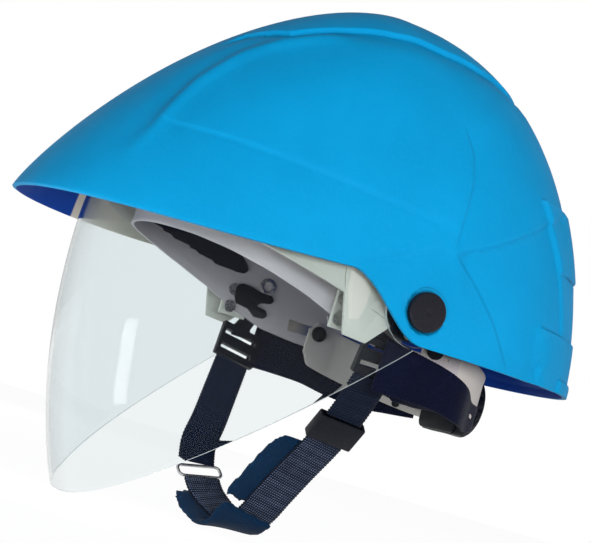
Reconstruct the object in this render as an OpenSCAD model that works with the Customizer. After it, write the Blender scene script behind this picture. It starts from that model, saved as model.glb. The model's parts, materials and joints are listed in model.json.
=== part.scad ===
/* [Shell] */
// Half the shell's width at its widest section
shell_half_w = 112; // [109:0.5:116]
// Peak tip, ahead of the widest section
peak_l = 172; // [164:1:180]
// Rear edge, behind the widest section
rear_l = 150; // [146:1:156]
// Crown height over the plane of the front rim
crown_h = 150; // [147:1:158]
// Wall thickness of the shell
shell_wall = 2.4; // [2:0.1:3]
// Drop of the rim behind the cut-out over the ear
ear_drop = 25; // [20:1:28]
// Height of the raised crest over the groove beside it
crest_step = 1.6; // [1:0.1:2]
// Height of the moulded ridge on each side of the peak
ridge_h = 1.4; // [0.5:0.1:2]
// Height of the moulded pad on the back of the shell
rear_pad_h = 2.4; // [1.5:0.1:3]

/* [Visor] */
// Gap from the shell's outer side to the visor's outer face
visor_side_gap = 9; // [8.5:0.25:10.5]
// Thickness of the clear sheet
visor_t = 1.8; // [1.5:0.1:2]
// Radius of the visor's front about the pivot axis, at brow level
visor_r = 147.5; // [142:0.5:148.5]
// Drop of the sheet's lower edge under the pivot axis, square to that edge
visor_edge_drop = 16.6; // [14:0.2:18]
// Slope of the sheet's lower edge, in degrees below level
visor_edge_slope = 43.2; // [40:0.1:46]

/* [Pivots] */
// Diameter of each pivot pin
pin_d = 6; // [5:0.5:7]
// Diameter of the round cap over each pin
cap_d = 20; // [18:0.5:24]
// Height of the cap over its seat
cap_h = 4.2; // [3:0.1:6]
// Diameter of the friction washers
washer_d = 20; // [16:0.5:22]

/* [Headband] */
// Gap from the shell's outer side to the headband's outer face
band_side_gap = 35; // [33:0.5:38]
// Brow of the headband, ahead of its widest section
band_brow = 100; // [95:1:104]
// Nape of the headband, behind the end of its straight side
band_nape = 46; // [42:1:52]
// Thickness of the headband and of its rear arms
band_t = 2; // [1.6:0.1:2.2]
// Height of the headband
band_h = 34; // [30:1:38]
// Thickness of the sweatband
sweatband_t = 3.4; // [2.5:0.1:4]
// Thickness of the nape pad
nape_pad_t = 7; // [5:0.5:9]
// Travel of the nape towards the brow
nape_travel_in = 16; // [10:1:17]
// Travel of the nape away from the brow
nape_travel_out = 6; // [2:1:7]

/* [Ratchet] */
// Diameter of the ratchet knob
knob_d = 36; // [30:1:40]
// Thickness of the knob
knob_t = 10; // [8:1:13]
// Number of grip flutes round the knob
knob_flutes = 16; // [10:1:24]

/* [Straps] */
// Bore of the eyelet through each strap hook
eyelet_bore_d = 5; // [4:0.25:5.5]
// Width of the chin webbing
webbing_w = 20; // [18:1:22]
// Thickness of the webbing
webbing_t = 1.6; // [1.2:0.1:2]
// Width of the chin pad
chin_pad_w = 34; // [28:1:38]
// Width of the cradle webbing
cradle_w = 18; // [15:1:22]

/* [Hidden] */
$fn = 48;

shell_blue = "#178fd0";
clear_tint = "#dfe9ea";
frame_white = "#e6e9e6";
band_grey = "#8e9298";
trim_black = "#1c1f24";
soft_navy = "#101a30";
steel = "#b9bcc0";

// The frame's origin is the centre of the head space, on the plane of the front rim.
widest_y = 5;
tip_y = widest_y - peak_l;
back_y = widest_y + rear_l;
notch_front_y = -22;
notch_rear_y = 22.5;
notch_rise = 2.3;
rim_sag = 0.8;
rim_back_rise = 2.5;
base_margin = 1;
skirt_z = -60;

pivot_y = 20.5;
pivot_z = -8;
visor_half_w = shell_half_w - visor_side_gap;
band_half_w = shell_half_w - band_side_gap;
fit = 0.1;
pin_fit = 0.05;
seat_gap = 0.2;

// Stations along each pivot pin, as distances from the middle plane.
cap_seat_x = shell_half_w - 2;
visor_out_x = visor_half_w + fit;
visor_in_x = visor_half_w - visor_t - fit;
frame_ear_t = 4.4;
frame_out_x = visor_in_x - seat_gap;
frame_in_x = frame_out_x - frame_ear_t;
washer_in_t = 0.9;
boss_out_x = frame_in_x - fit - washer_in_t - fit;
boss_end_x = visor_out_x + fit + 1.3 + fit;
foot_in_x = band_half_w + seat_gap;
foot_t = 3;
boss_r = 11;
shell_boss_r = 12;

// Exponents of the shell's plan and of its sections: front, side and rear.
plan_n = [2.23, 2.15];
sect_p = [1.68, 2.2, 2.35];
sect_q = [0.85, 0.52, 0.56];
zone_k = 1.9;

function mix(a, b, t) = a + (b - a) * t;
function ramp(t) = let (u = max(0, min(1, t))) u * u * (3 - 2 * u);
function unit(v) = v / norm(v);
function dome_pow(v, e) = pow(max(v, 0), e);
function flip_x(p) = [-p[0], p[1], p[2]];

// A smooth curve through hand-set points, n steps to a span.
function spline_at(p, i, t) =
    let (a = p[max(i - 1, 0)], b = p[i], c = p[i + 1], d = p[min(i + 2, len(p) - 1)])
    0.5 * (2 * b + (c - a) * t + (2 * a - 5 * b + 4 * c - d) * t * t
        + (3 * b - 3 * c + d - a) * t * t * t);
function spline(p, n) = [
    for (i = [0:len(p) - 2], k = [0:n - 1]) spline_at(p, i, k / n),
    p[len(p) - 1]
];
function tangent(p, i) = unit(p[min(i + 1, len(p) - 1)] - p[max(i - 1, 0)]);

// A closed body through rings that each turn the same way about the line of travel.
function loft_sides(n, m) = [
    for (j = [0:m - 2], i = [0:n - 1])
        let (a = j * n + i, b = j * n + (i + 1) % n)
        each [[a, a + n, b + n], [a, b + n, b]]
];
module loft(rings) {
    n = len(rings[0]);
    m = len(rings);
    polyhedron(
        points = [for (r = rings) each r],
        faces = concat(
            [[for (i = [0:n - 1]) i]],
            loft_sides(n, m),
            [[for (i = [n - 1:-1:0]) (m - 1) * n + i]]
        )
    );
}

// A closed hoop: the last ring joins the first.
module hoop(rings) {
    n = len(rings[0]);
    k = n * len(rings);
    polyhedron(
        points = [for (r = rings) each r],
        faces = [
            for (j = [0:len(rings) - 1], i = [0:n - 1])
                let (a = j * n + i, b = j * n + (i + 1) % n, c = (a + n) % k, d = (b + n) % k)
                each [[a, d, c], [a, b, d]]
        ]
    );
}

// A closed dome through rings stacked upwards, with one point over the last ring.
module dome(rings, top) {
    n = len(rings[0]);
    m = len(rings);
    polyhedron(
        points = concat([for (r = rings) each r], [top]),
        faces = concat(
            [[for (i = [0:n - 1]) i]],
            loft_sides(n, m),
            [for (i = [0:n - 1]) [(m - 1) * n + i, m * n, (m - 1) * n + (i + 1) % n]]
        )
    );
}

// A closed sheet between an outer and an inner grid of points, rows by columns.
module sheet(outer, inner) {
    r = len(outer);
    c = len(outer[0]);
    k = r * c;
    points = concat([for (row = outer) each row], [for (row = inner) each row]);
    cells = [
        for (j = [0:r - 2], i = [0:c - 2])
            [j * c + i, j * c + i + 1, (j + 1) * c + i + 1, (j + 1) * c + i]
    ];
    rim = concat(
        [for (i = [0:c - 1]) i],
        [for (j = [1:r - 1]) j * c + c - 1],
        [for (i = [c - 2:-1:0]) (r - 1) * c + i],
        [for (j = [r - 2:-1:1]) j * c]
    );
    n = len(rim);
    polyhedron(points = points, faces = concat(
        [for (q = cells) each [[q[0], q[2], q[1]], [q[0], q[3], q[2]]]],
        [for (q = cells) each [[k + q[0], k + q[1], k + q[2]], [k + q[0], k + q[2], k + q[3]]]],
        [for (i = [0:n - 1]) let (a = rim[i], b = rim[(i + 1) % n]) each [[a, b, k + b], [a, k + b, k + a]]]
    ));
}

// A flat strap along a path: across gives the direction of its width at a point.
function strap_ring(p, along, across, w, t) =
    let (face = unit(cross(along, across)), side = cross(face, along))
    [
        p - side * w / 2 - face * t / 2, p + side * w / 2 - face * t / 2,
        p + side * w / 2 + face * t / 2, p - side * w / 2 + face * t / 2
    ];
module strap(path, across, widths, t) {
    last = len(path) - 1;
    loft([for (i = [0:last]) strap_ring(path[i], tangent(path, i),
        mix(across[0], across[1], i / last), mix(widths[0], widths[1], i / last), t)]);
}

// A padded strap: a lens section with rounded edges.
function lens_ring(p, along, across, w, t, n) =
    let (face = unit(cross(along, across)), side = cross(face, along))
    [for (i = [0:n - 1]) let (a = 180 + i * 360 / n, c = cos(a), s = sin(a))
        p + side * (w / 2) * sign(c) * pow(abs(c), 0.5) + face * (t / 2) * sign(s) * pow(abs(s), 0.8)];

// Extrudes an outline of side-view points (y, z) along X.
module along_x(x0, x1) {
    translate([x0, 0, 0]) rotate([90, 0, 90]) linear_extrude(x1 - x0) children();
}
module rod_x(x0, x1, d) {
    translate([x0, 0, 0]) rotate([0, 90, 0]) cylinder(d = d, h = x1 - x0);
}
module at_pivot() {
    translate([0, pivot_y, pivot_z]) children();
}
module on_right() {
    mirror([1, 0, 0]) children();
}
// Stands a child's Z on the direction given, at a point.
module aimed(point, along, across) {
    w = unit(along);
    u = unit(across - w * (across * w));
    v = cross(w, u);
    multmatrix([
        [u[0], v[0], w[0], point[0]],
        [u[1], v[1], w[1], point[1]],
        [u[2], v[2], w[2], point[2]],
        [0, 0, 0, 1]
    ]) children();
}

// The shell's surface: azimuth a from the front towards the wearer's left, rise t from 0 to 90.
function plan_reach(a) =
    let (c = cos(a), n = c > 0 ? plan_n[0] : plan_n[1], l = c > 0 ? peak_l : rear_l)
    pow(pow(abs(sin(a)) / shell_half_w, n) + pow(abs(c) / l, n), -1 / n);
function base_z(y) =
    -ear_drop * max(0, min(1, (y - tip_y) / (notch_rear_y - tip_y)))
    + rim_back_rise * max(0, (y - notch_rear_y) / (back_y - notch_rear_y)) - base_margin;
function zones(a) =
    let (f = dome_pow(cos(a), zone_k), b = dome_pow(-cos(a), zone_k)) [f, 1 - f - b, b];
function shell_at(a, t) =
    let (z = zones(a), p = z * sect_p, q = z * sect_q, r = plan_reach(a),
        low = base_z(widest_y - r * cos(a)), reach = r * pow(cos(t), 2 / p))
    [
        reach * sin(a), widest_y - reach * cos(a),
        low + (crown_h - low) * dome_pow(sin(t), 2 * q)
    ];
function shell_normal(a, t) =
    let (u = max(1, min(88, t)), d = 0.5)
    unit(cross(
        shell_at(a + d, u) - shell_at(a - d, u),
        shell_at(a, u + d) - shell_at(a, u - d)
    ));
function shell_point(a, t, off) = shell_at(a, t) + shell_normal(a, t) * off;

// Half widths of the crest and of the ridge line beside the peak, by their place along Y.
crest_line = [[-78, 14], [-62, 34], [-35, 44], [-10, 50], [20, 50], [45, 45], [70, 34], [90, 16]];
ridge_line = [[-125, 57], [-105, 46], [-85, 42], [-60, 46], [-35, 52]];
groove_w = 14;
ridge_w = 9;
function groove(p) =
    let (edge = lookup(p[1], crest_line) + groove_w)
    ramp((edge - abs(p[0])) / groove_w) * ramp((p[1] + 95) / 25) * ramp((105 - p[1]) / 25);
function ridge(p) =
    let (d = (abs(p[0]) - lookup(p[1], ridge_line)) / ridge_w)
    exp(-d * d) * ramp((p[1] + 140) / 25) * ramp((-25 - p[1]) / 25);
function relief(p) = ridge_h * ridge(p) - crest_step * groove(p);

shell_turn = 5;
function shell_rings(turn, rises, off, relief_on) = [
    for (t = rises) [
        for (a = [0:turn:360 - turn])
            let (p = shell_at(a, t)) shell_point(a, t, off + relief_on * relief(p))
    ]
];
module shell_blank(turn, rises, off, relief_on) {
    rings = shell_rings(turn, rises, off, relief_on);
    skirt = [for (p = rings[0]) [p[0], p[1], skirt_z]];
    dome(concat([skirt], rings), [0, widest_y, crown_h + off]);
}

function rim_z(y) =
    let (u = max(0, min(1, (y - tip_y) / (notch_front_y - tip_y))),
        front = notch_rise * u * u * u - rim_sag * sin(180 * u),
        back = -ear_drop + rim_back_rise * max(0, (y - notch_rear_y) / (back_y - notch_rear_y)),
        t = ramp((y - notch_front_y) / (notch_rear_y - notch_front_y)))
    mix(front, back, t);
rim_stations = concat(
    [for (i = [0:10]) mix(tip_y - 10, notch_front_y, i / 10)],
    [for (i = [1:12]) mix(notch_front_y, notch_rear_y, i / 12)],
    [for (i = [1:8]) mix(notch_rear_y, back_y + 10, i / 8)]
);
module under_rim() {
    along_x(-shell_half_w - 20, shell_half_w + 20)
        polygon(concat(
            [for (y = rim_stations) [y, rim_z(y)]],
            [[back_y + 10, skirt_z - 10], [tip_y - 10, skirt_z - 10]]
        ));
}

rise_rows = [0, 3, 7, 12, 17, 22, 27, 32, 37, 42, 47, 52, 57, 62, 67, 72, 77, 82, 86];
rise_rows_in = [0, 4, 10, 17, 24, 31, 38, 45, 52, 59, 66, 73, 80, 86];
pad_half_w = 76;
pad_levels = [6, 37, 72];
pad_front_y = 60;
foot_h = 7;
foot_flare = 14;
// Each level's height over the shell, as a share of the pad's height.
level_rise = [1, 0.5, 1];
foot_rise = 1.6;
// A slice of the back, from z0 up to z1, that stands proud of the shell.
module rear_level(half_w, z0, z1, proud) {
    intersection() {
        shell_blank(shell_turn, rise_rows, proud, 0);
        translate([-half_w, pad_front_y, z0]) cube([2 * half_w, back_y, z1 - z0]);
    }
}
// The moulded pad on the back, in three levels, and the flared foot under it.
module rear_pads() {
    rear_level(pad_half_w, pad_levels[1], pad_levels[2], rear_pad_h * level_rise[2]);
    rear_level(pad_half_w, pad_levels[0] - 1, pad_levels[1] + 1, rear_pad_h * level_rise[1]);
    rear_level(pad_half_w + foot_flare, skirt_z, pad_levels[0], rear_pad_h * level_rise[0]);
    rear_level(pad_half_w, skirt_z, -ear_drop + rim_back_rise + foot_h, rear_pad_h * foot_rise);
}
module crest() {
    intersection() {
        shell_blank(shell_turn, rise_rows, 0, 0);
        translate([0, 0, 60]) linear_extrude(120) polygon(concat(
            [for (p = crest_line) [p[1], p[0]]],
            [for (i = [len(crest_line) - 1:-1:0]) [-crest_line[i][1], crest_line[i][0]]]
        ));
    }
}
module shell_skin() {
    difference() {
        union() {
            shell_blank(shell_turn, rise_rows, 0, 1);
            rear_pads();
            crest();
        }
        shell_blank(8, rise_rows_in, -shell_wall, 1);
        under_rim();
    }
}
module outer_shell() {
    color(shell_blue) difference() {
        union() {
            resize([2 * shell_half_w, 0, 0]) shell_skin();
            shell_boss();
            on_right() shell_boss();
        }
        pivot_pocket();
        on_right() pivot_pocket();
    }
}
boss_root = 1.8;
module shell_boss() {
    at_pivot() rod_x(boss_end_x, shell_half_w - boss_root, 2 * shell_boss_r);
}
// Seat of the cap, counterbore of the pin's head and the pin's bore.
module pivot_pocket() {
    at_pivot() {
        rod_x(cap_seat_x, shell_half_w + 10, cap_d + 2 * seat_gap);
        rod_x(head_in_x, cap_seat_x + 1, head_d + 2 * seat_gap);
        rod_x(boss_end_x - 1, head_in_x + 1, pin_d + 2 * pin_fit);
    }
}

// Stations of the pin's head and of its nut.
head_d = 13;
head_t = 2.4;
head_in_x = cap_seat_x - 0.3 - head_t;
bracket_t = 5;
bracket_in_x = boss_out_x - bracket_t;
nut_t = 4;
nut_d = 13;
nut_in_x = bracket_in_x - fit - nut_t;

module pivot_cap() {
    color(trim_black) at_pivot() translate([cap_seat_x, 0, 0]) rotate([0, 90, 0]) rotate_extrude()
        polygon(concat(
            [[0, 0], [cap_d / 2, 0]],
            [for (a = [0:10:90]) [cap_d / 2 - 1.6 * (1 - cos(a)), cap_h - 2.4 + 1.6 * sin(a)]],
            [[cap_d / 4, cap_h - 0.2], [0, cap_h]]
        ));
}
module pivot_cap_l() { pivot_cap(); }
module pivot_cap_r() { on_right() pivot_cap(); }
module pivot_pin() {
    color(steel) at_pivot() {
        rod_x(head_in_x, head_in_x + head_t, head_d);
        rod_x(nut_in_x - 1, head_in_x + 1, pin_d);
    }
}
module pivot_pin_l() { pivot_pin(); }
module pivot_pin_r() { on_right() pivot_pin(); }
module pivot_nut() {
    color(steel) at_pivot() difference() {
        translate([nut_in_x, 0, 0]) rotate([0, 90, 0]) cylinder(d = nut_d, h = nut_t, $fn = 6);
        rod_x(nut_in_x - 1, nut_in_x + nut_t + 1, pin_d);
    }
}
module pivot_nut_l() { pivot_nut(); }
module pivot_nut_r() { on_right() pivot_nut(); }
module pivot_washer(x0, x1) {
    color(trim_black) at_pivot() difference() {
        rod_x(x0, x1, washer_d);
        rod_x(x0 - 1, x1 + 1, pin_d + 2 * pin_fit);
    }
}
module outer_washer_l() { pivot_washer(visor_out_x + fit, boss_end_x - fit); }
module outer_washer_r() { on_right() outer_washer_l(); }
module inner_washer_l() { pivot_washer(boss_out_x + fit, frame_in_x - fit); }
module inner_washer_r() { on_right() inner_washer_l(); }

// The visor's surface about the pivot axis: th is the angle above level ahead of the axis.
visor_n = 2.35;
visor_chin_k = 48;
visor_ear_r = 18.2;
visor_top_slope = 14;
visor_top_lift = 2;
function visor_close(u) = pow(max(cos(u), 0), 2 / visor_n);
function visor_rad(th, u) = visor_r + visor_chin_k * visor_close(u) * pow(min(th, 0) * PI / 180, 2);
function edge_angle(slope, off, rho) = slope + asin(max(-1, min(1, off / rho)));
function visor_low(u, drop) =
    let (t0 = edge_angle(-visor_edge_slope, -drop, visor_rad(-visor_edge_slope, u) * visor_close(u)),
        t1 = edge_angle(-visor_edge_slope, -drop, visor_rad(t0, u) * visor_close(u)))
    t1;
function visor_high(u, lift) = edge_angle(visor_top_slope, lift, visor_r * visor_close(u));
function visor_at(u, th, off) =
    let (rho = (visor_rad(th, u) - off) * visor_close(u))
    [
        (visor_half_w - off) * sign(u) * pow(abs(sin(u)), 2 / visor_n),
        pivot_y - rho * cos(th), pivot_z + rho * sin(th)
    ];
// The angle across at which the sheet runs into its ear.
visor_u_end = acos(pow((visor_ear_r - 0.8) / visor_r, visor_n / 2));
visor_cols = 28;
visor_rows = 12;
function visor_u(i, n) = visor_u_end * sin(mix(-90, 90, i / n));
function visor_grid(off, low, high, rows) = [
    for (j = [0:rows]) [
        for (i = [0:visor_cols])
            let (u = visor_u(i, visor_cols), a = visor_low(u, low), b = visor_high(u, high))
            visor_at(u, mix(a, b, j / rows), off)
    ]
];
frame_drop = 11.5;
frame_set_in = 0.3;
function frame_grid(off, rows) = [
    for (j = [0:rows]) [
        for (i = [0:visor_cols])
            let (u = visor_u(i, visor_cols), a = visor_high(u, -frame_drop),
                b = visor_high(u, visor_top_lift - frame_set_in))
            visor_at(u, mix(a, b, j / rows), off)
    ]
];
module visor() {
    color(clear_tint) difference() {
        union() {
            sheet(visor_grid(0, visor_edge_drop, visor_top_lift, visor_rows),
                visor_grid(visor_t, visor_edge_drop, visor_top_lift, visor_rows));
            visor_ear();
            on_right() visor_ear();
        }
        pivot_bore();
        on_right() pivot_bore();
        frame_rivet_holes();
    }
}
module visor_ear() {
    at_pivot() rod_x(visor_half_w - visor_t, visor_half_w, 2 * visor_ear_r);
}
module pivot_bore() {
    at_pivot() rod_x(70, visor_half_w + 5, pin_d + 2 * pin_fit);
}

// The white carrier inside the visor's top edge, with a faceted lobe by each pivot.
lobe = [[-22, 9], [-21, -2], [-14, -30], [-1, -31], [12, -17], [22, -17], [30, -8], [26, 2], [10, 4]];
lobe_t = 2.2;
frame_ear_r = 15.8;
module frame_lobe() {
    along_x(frame_in_x, frame_in_x + lobe_t) polygon(lobe);
    at_pivot() rod_x(frame_in_x, frame_out_x, 2 * frame_ear_r);
}
frame_t = 2.4;
frame_gap = 0.45;
module visor_frame() {
    color(frame_white) difference() {
        union() {
            sheet(frame_grid(visor_t + frame_gap, 3), frame_grid(visor_t + frame_gap + frame_t, 3));
            frame_lobe();
            on_right() frame_lobe();
        }
        pivot_bore();
        on_right() pivot_bore();
        frame_rivet_holes();
    }
}
rivet_d = 4;
rivet_head_d = 7;
rivet_head_t = 0.8;
// Small rivets hold the visor's ears to the frame, at these angles round each pivot.
ear_rivet_turns = [170, 260];
ear_rivet_r = 13;
ear_rivet_d = 3;
ear_rivet_head_d = 4.8;
module at_ear_rivets() {
    for (a = ear_rivet_turns, s = [0, 1]) mirror([s, 0, 0])
        translate([0, pivot_y + ear_rivet_r * cos(a), pivot_z + ear_rivet_r * sin(a)]) children();
}
module frame_rivet_holes() {
    at_ear_rivets() rod_x(frame_in_x - 5, visor_half_w + 5, ear_rivet_d + 2 * pin_fit);
}
module frame_rivets() {
    color(steel) at_ear_rivets() {
        rod_x(frame_in_x - rivet_head_t, visor_half_w + rivet_head_t, ear_rivet_d);
        rod_x(frame_in_x - rivet_head_t, frame_in_x, ear_rivet_head_d);
        rod_x(visor_half_w, visor_half_w + rivet_head_t, ear_rivet_head_d);
    }
}

// Plan of the headband: a superellipse at the brow, straight sides, and a closing nape.
band_side_end = 60;
band_flat = 22;
brow_n = 2.15;
nape_n = 1.6;
nape_y = band_side_end + band_nape;
function brow_at(a, off) = [
    (band_half_w - off) * sign(sin(a)) * pow(abs(sin(a)), 2 / brow_n),
    -(band_brow - off) * pow(max(cos(a), 0), 2 / brow_n)
];
function nape_at(a, off) =
    let (w = band_half_w - off - band_flat, d = nape_y - off - band_side_end)
    [band_flat + w * pow(max(cos(a), 0), 2 / nape_n), band_side_end + d * pow(max(sin(a), 0), 2 / nape_n)];
// Lower edge of the headband, and of its rear arms, by the place along Y.
band_low = [
    [-100, 1], [-84, -1], [-68, -4], [-48, -9], [-28, -15], [-7, -23], [13, -29], [36, -31], [64, -31]
];
arm_low = [[36, -39], [55, -43], [82, -48], [106, -53]];
band_end_y = 64;
arm_front_y = 42;
arm_h = 26;
arm_corner = 6;

// A band along plan points (x, y), from a lower edge z over a height, with its thickness inwards.
module band_wall(outer, inner, low, high) {
    n = len(outer) - 1;
    loft([for (i = [0:n]) let (z0 = low[i], z1 = high[i]) [
        [outer[i][0], outer[i][1], z0], [inner[i][0], inner[i][1], z0],
        [inner[i][0], inner[i][1], z1], [outer[i][0], outer[i][1], z1]
    ]]);
}
brow_turn = 6;
function half_plan(off) = concat(
    [for (a = [0:brow_turn:90]) brow_at(a, off)],
    [for (y = [10:10:band_end_y - 4]) [band_half_w - off, y]],
    [[band_half_w - off, band_end_y]]
);
function whole_plan(off) =
    let (h = half_plan(off), n = len(h))
    concat([for (i = [n - 1:-1:1]) [-h[i][0], h[i][1]]], h);
stud_y = 48;
stud_z = -22;
stud_d = 5;
slot_h = stud_d + 0.3;
module band_slot() {
    for (y = [stud_y - nape_travel_in - 0.4, stud_y + nape_travel_out + 0.4])
        translate([0, y, stud_z]) rod_x(band_half_w - 6, band_half_w + 4, slot_h);
    translate([band_half_w - 6, stud_y - nape_travel_in - 0.4, stud_z - slot_h / 2])
        cube([10, nape_travel_in + nape_travel_out + 0.8, slot_h]);
}
module headband() {
    plan_out = whole_plan(0);
    plan_in = whole_plan(band_t);
    low = [for (p = plan_out) lookup(p[1], band_low)];
    high = [for (z = low) z + band_h];
    color(band_grey) difference() {
        band_wall(plan_out, plan_in, low, high);
        band_slot();
        on_right() band_slot();
        bracket_rivet_holes();
        cradle_stud_holes();
        hook_rivet_holes();
    }
}

// The foam that lines the brow, a rounded lens in section.
sweatband_end = 88;
sweatband_top = 32;
// Rise of its lower edge over the band's, along Y.
sweatband_rise = [[-100, 7], [-60, 9], [-27, 12.4], [-4, 17.5]];
function pad_ring(outer, inner, z0, z1) =
    let (m = (outer + inner) / 2, d = (outer - inner) / 2, zm = (z0 + z1) / 2, h = (z1 - z0) / 2)
    [for (k = [0:11]) let (a = 15 + k * 30, c = cos(a), s = sin(a),
        q = m + d * sign(c) * pow(abs(c), 0.6), z = zm - h * sign(s) * pow(abs(s), 0.7))
        [q[0], q[1], z]];
module sweatband() {
    off = band_t + seat_gap;
    color(soft_navy) loft([for (a = [-sweatband_end:4:sweatband_end])
        let (p = brow_at(a, off), z0 = lookup(p[1], band_low))
        pad_ring(p, brow_at(a, off + sweatband_t), z0 + lookup(p[1], sweatband_rise), z0 + sweatband_top)]);
}

// The rear arms: straight past the studs, then closing to a flat at the ratchet.
arm_off = band_t + seat_gap;
arm_in = arm_off + band_t;
ratchet_z = -40;
function arm_plan(off) = concat(
    [for (y = [arm_front_y:6:band_side_end - 6]) [band_half_w - off, y]],
    [for (a = [0:7.5:90]) nape_at(a, off)]
);
tail_half = 18;
tail_h = 5.4;
rack_gap = 7.2;
tooth_h = 1.7;
tooth_pitch = 3;
tail_y1 = nape_y - arm_off;
tail_y0 = nape_y - arm_in;
module arm_blank() {
    plan_out = arm_plan(arm_off);
    plan_in = arm_plan(arm_in);
    low = [for (p = plan_out) lookup(p[1], arm_low)];
    cut = [for (i = [0:len(low) - 1]) i == 0 ? arm_corner : 0];
    band_wall(plan_out, plan_in, low + cut, [for (i = [0:len(low) - 1]) low[i] + arm_h - cut[i]]);
}
// The toothed tail of an arm, above the pinion when side is 1 and below it when side is -1.
module rack(side) {
    z0 = ratchet_z + side * rack_gap;
    translate([-tail_half, tail_y0, side > 0 ? z0 : z0 - tail_h])
        cube([band_flat + tail_half + 1, band_t, tail_h]);
    for (x = [-tail_half:tooth_pitch:band_flat - tooth_pitch])
        translate([x, tail_y0, side > 0 ? z0 - tooth_h : z0 - 0.01])
            cube([tooth_pitch / 2, band_t, tooth_h + 0.01]);
}
module rear_arm(side) {
    color(band_grey) difference() {
        union() {
            arm_blank();
            rack(side);
        }
        translate([0, stud_y, stud_z]) rod_x(band_half_w - 8, band_half_w + 4, stud_d);
        leg_rivet_holes();
    }
}
module rear_arm_l() { rear_arm(1); }
module rear_arm_r() { on_right() rear_arm(-1); }
stud_head_d = 9;
module guide_stud() {
    color(trim_black) translate([0, stud_y, stud_z]) {
        rod_x(band_half_w - arm_in - 1, band_half_w + seat_gap + 1, stud_d);
        rod_x(band_half_w - arm_in - 1, band_half_w - arm_in, stud_head_d);
        rod_x(band_half_w + seat_gap, band_half_w + seat_gap + 1.4, stud_head_d);
    }
}
module guide_stud_l() { guide_stud(); }
module guide_stud_r() { on_right() guide_stud(); }

// The ratchet: its housing, cover, knob and pinion, all on an axis along Y.
housing_w = 2 * band_flat - 1;
housing_h = 36;
housing_y1 = tail_y1 + seat_gap + 3.4;
cover_t = 2.2;
cavity_h = 2 * (rack_gap + tail_h) + 0.6;
shaft_d = 8;
module across_y(y0, y1) {
    translate([0, y1, ratchet_z]) rotate([90, 0, 0]) linear_extrude(y1 - y0) children();
}
module round_box(w, h, r) {
    square([w - 2 * r, h], center = true);
    square([w, h - 2 * r], center = true);
    for (x = [-1, 1], z = [-1, 1]) translate([x * (w / 2 - r), z * (h / 2 - r)]) circle(r);
}
module ratchet_housing() {
    color(trim_black) difference() {
        across_y(tail_y0 - seat_gap, housing_y1) round_box(housing_w, housing_h, 5);
        translate([-housing_w, tail_y0 - seat_gap - 1, ratchet_z - cavity_h / 2])
            cube([2 * housing_w, band_t + 2 * seat_gap + 1, cavity_h]);
        across_y(tail_y0, housing_y1 + 1) circle(d = shaft_d + 2 * pin_fit);
    }
}
module ratchet_cover() {
    color(trim_black) across_y(tail_y0 - seat_gap - cover_t, tail_y0 - seat_gap)
        round_box(housing_w - 1, housing_h - 1, 5);
}
knob_y0 = housing_y1 + 0.3;
module ratchet_knob() {
    color(trim_black) difference() {
        translate([0, knob_y0, ratchet_z]) rotate([-90, 0, 0]) rotate_extrude() polygon(concat(
            [[0, 0], [knob_d / 2 - 1.5, 0], [knob_d / 2, 1.5]],
            [for (a = [0:15:90]) [knob_d / 2 - 2.5 * (1 - cos(a)), knob_t - 2.5 + 2.5 * sin(a)]],
            [[0, knob_t]]
        ));
        for (k = [0:knob_flutes - 1]) translate([0, knob_y0 - 1, ratchet_z]) rotate([-90, 0, 0])
            rotate(k * 360 / knob_flutes) translate([knob_d / 2 + 1, 0, 0]) cylinder(d = 4, h = knob_t + 2);
        across_y(knob_y0 - 1, knob_y0 + knob_t - 3) circle(d = shaft_d);
    }
}
pinion_tip = rack_gap - tooth_h - 0.4;
pinion_teeth = 10;
module ratchet_pinion() {
    color(frame_white) {
        across_y(tail_y0, tail_y1) difference() {
            circle(pinion_tip);
            for (k = [0:pinion_teeth - 1]) rotate(k * 360 / pinion_teeth)
                translate([pinion_tip, 0]) circle(d = 1.6);
        }
        across_y(tail_y1 - 0.1, knob_y0 + knob_t - 3) circle(d = shaft_d);
    }
}
nape_pad_end = 38;
nape_pad_h = 30;
nape_pad_off = arm_in + cover_t + 0.6;
module nape_pad() {
    side = [for (a = [nape_pad_end:6:90]) a];
    stations = concat(
        [for (a = side) [nape_at(a, nape_pad_off), nape_at(a, nape_pad_off + nape_pad_t)]],
        [[[0, nape_y - nape_pad_off], [0, nape_y - nape_pad_off - nape_pad_t]]],
        [for (i = [len(side) - 1:-1:0]) let (p = nape_at(side[i], nape_pad_off),
            q = nape_at(side[i], nape_pad_off + nape_pad_t)) [[-p[0], p[1]], [-q[0], q[1]]]]
    );
    color(soft_navy) loft([for (s = stations)
        let (z0 = lookup(s[0][1], arm_low) + 1) pad_ring(s[0], s[1], z0, z0 + nape_pad_h)]);
}

// The wide textile leg on each side, from beside the hook back along the arm to the nape.
leg_x = band_half_w + 10.4;
leg_z = [-38, -39, -41, -45];
leg_turns = [35, 50, 64, 72];
leg_nape_z = -48.5;
leg_widths = [27, 11];
leg_off = arm_off - 2 * seat_gap - webbing_t / 2;
leg_points = concat(
    [[leg_x, 15, leg_z[0]], [leg_x, 32, leg_z[1]], [leg_x - 0.6, 52, leg_z[2]], [leg_x - 5, 68, leg_z[3]]],
    [for (a = leg_turns) let (p = nape_at(a, leg_off)) [p[0], p[1], leg_nape_z]]
);
module nape_leg() {
    color(soft_navy) difference() {
        strap(spline(leg_points, 4), [[0, 0, 1], [0, 0, 1]], leg_widths, webbing_t);
        leg_rivet_holes();
    }
}
module nape_leg_l() { nape_leg(); }
module nape_leg_r() { on_right() nape_leg(); }
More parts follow.
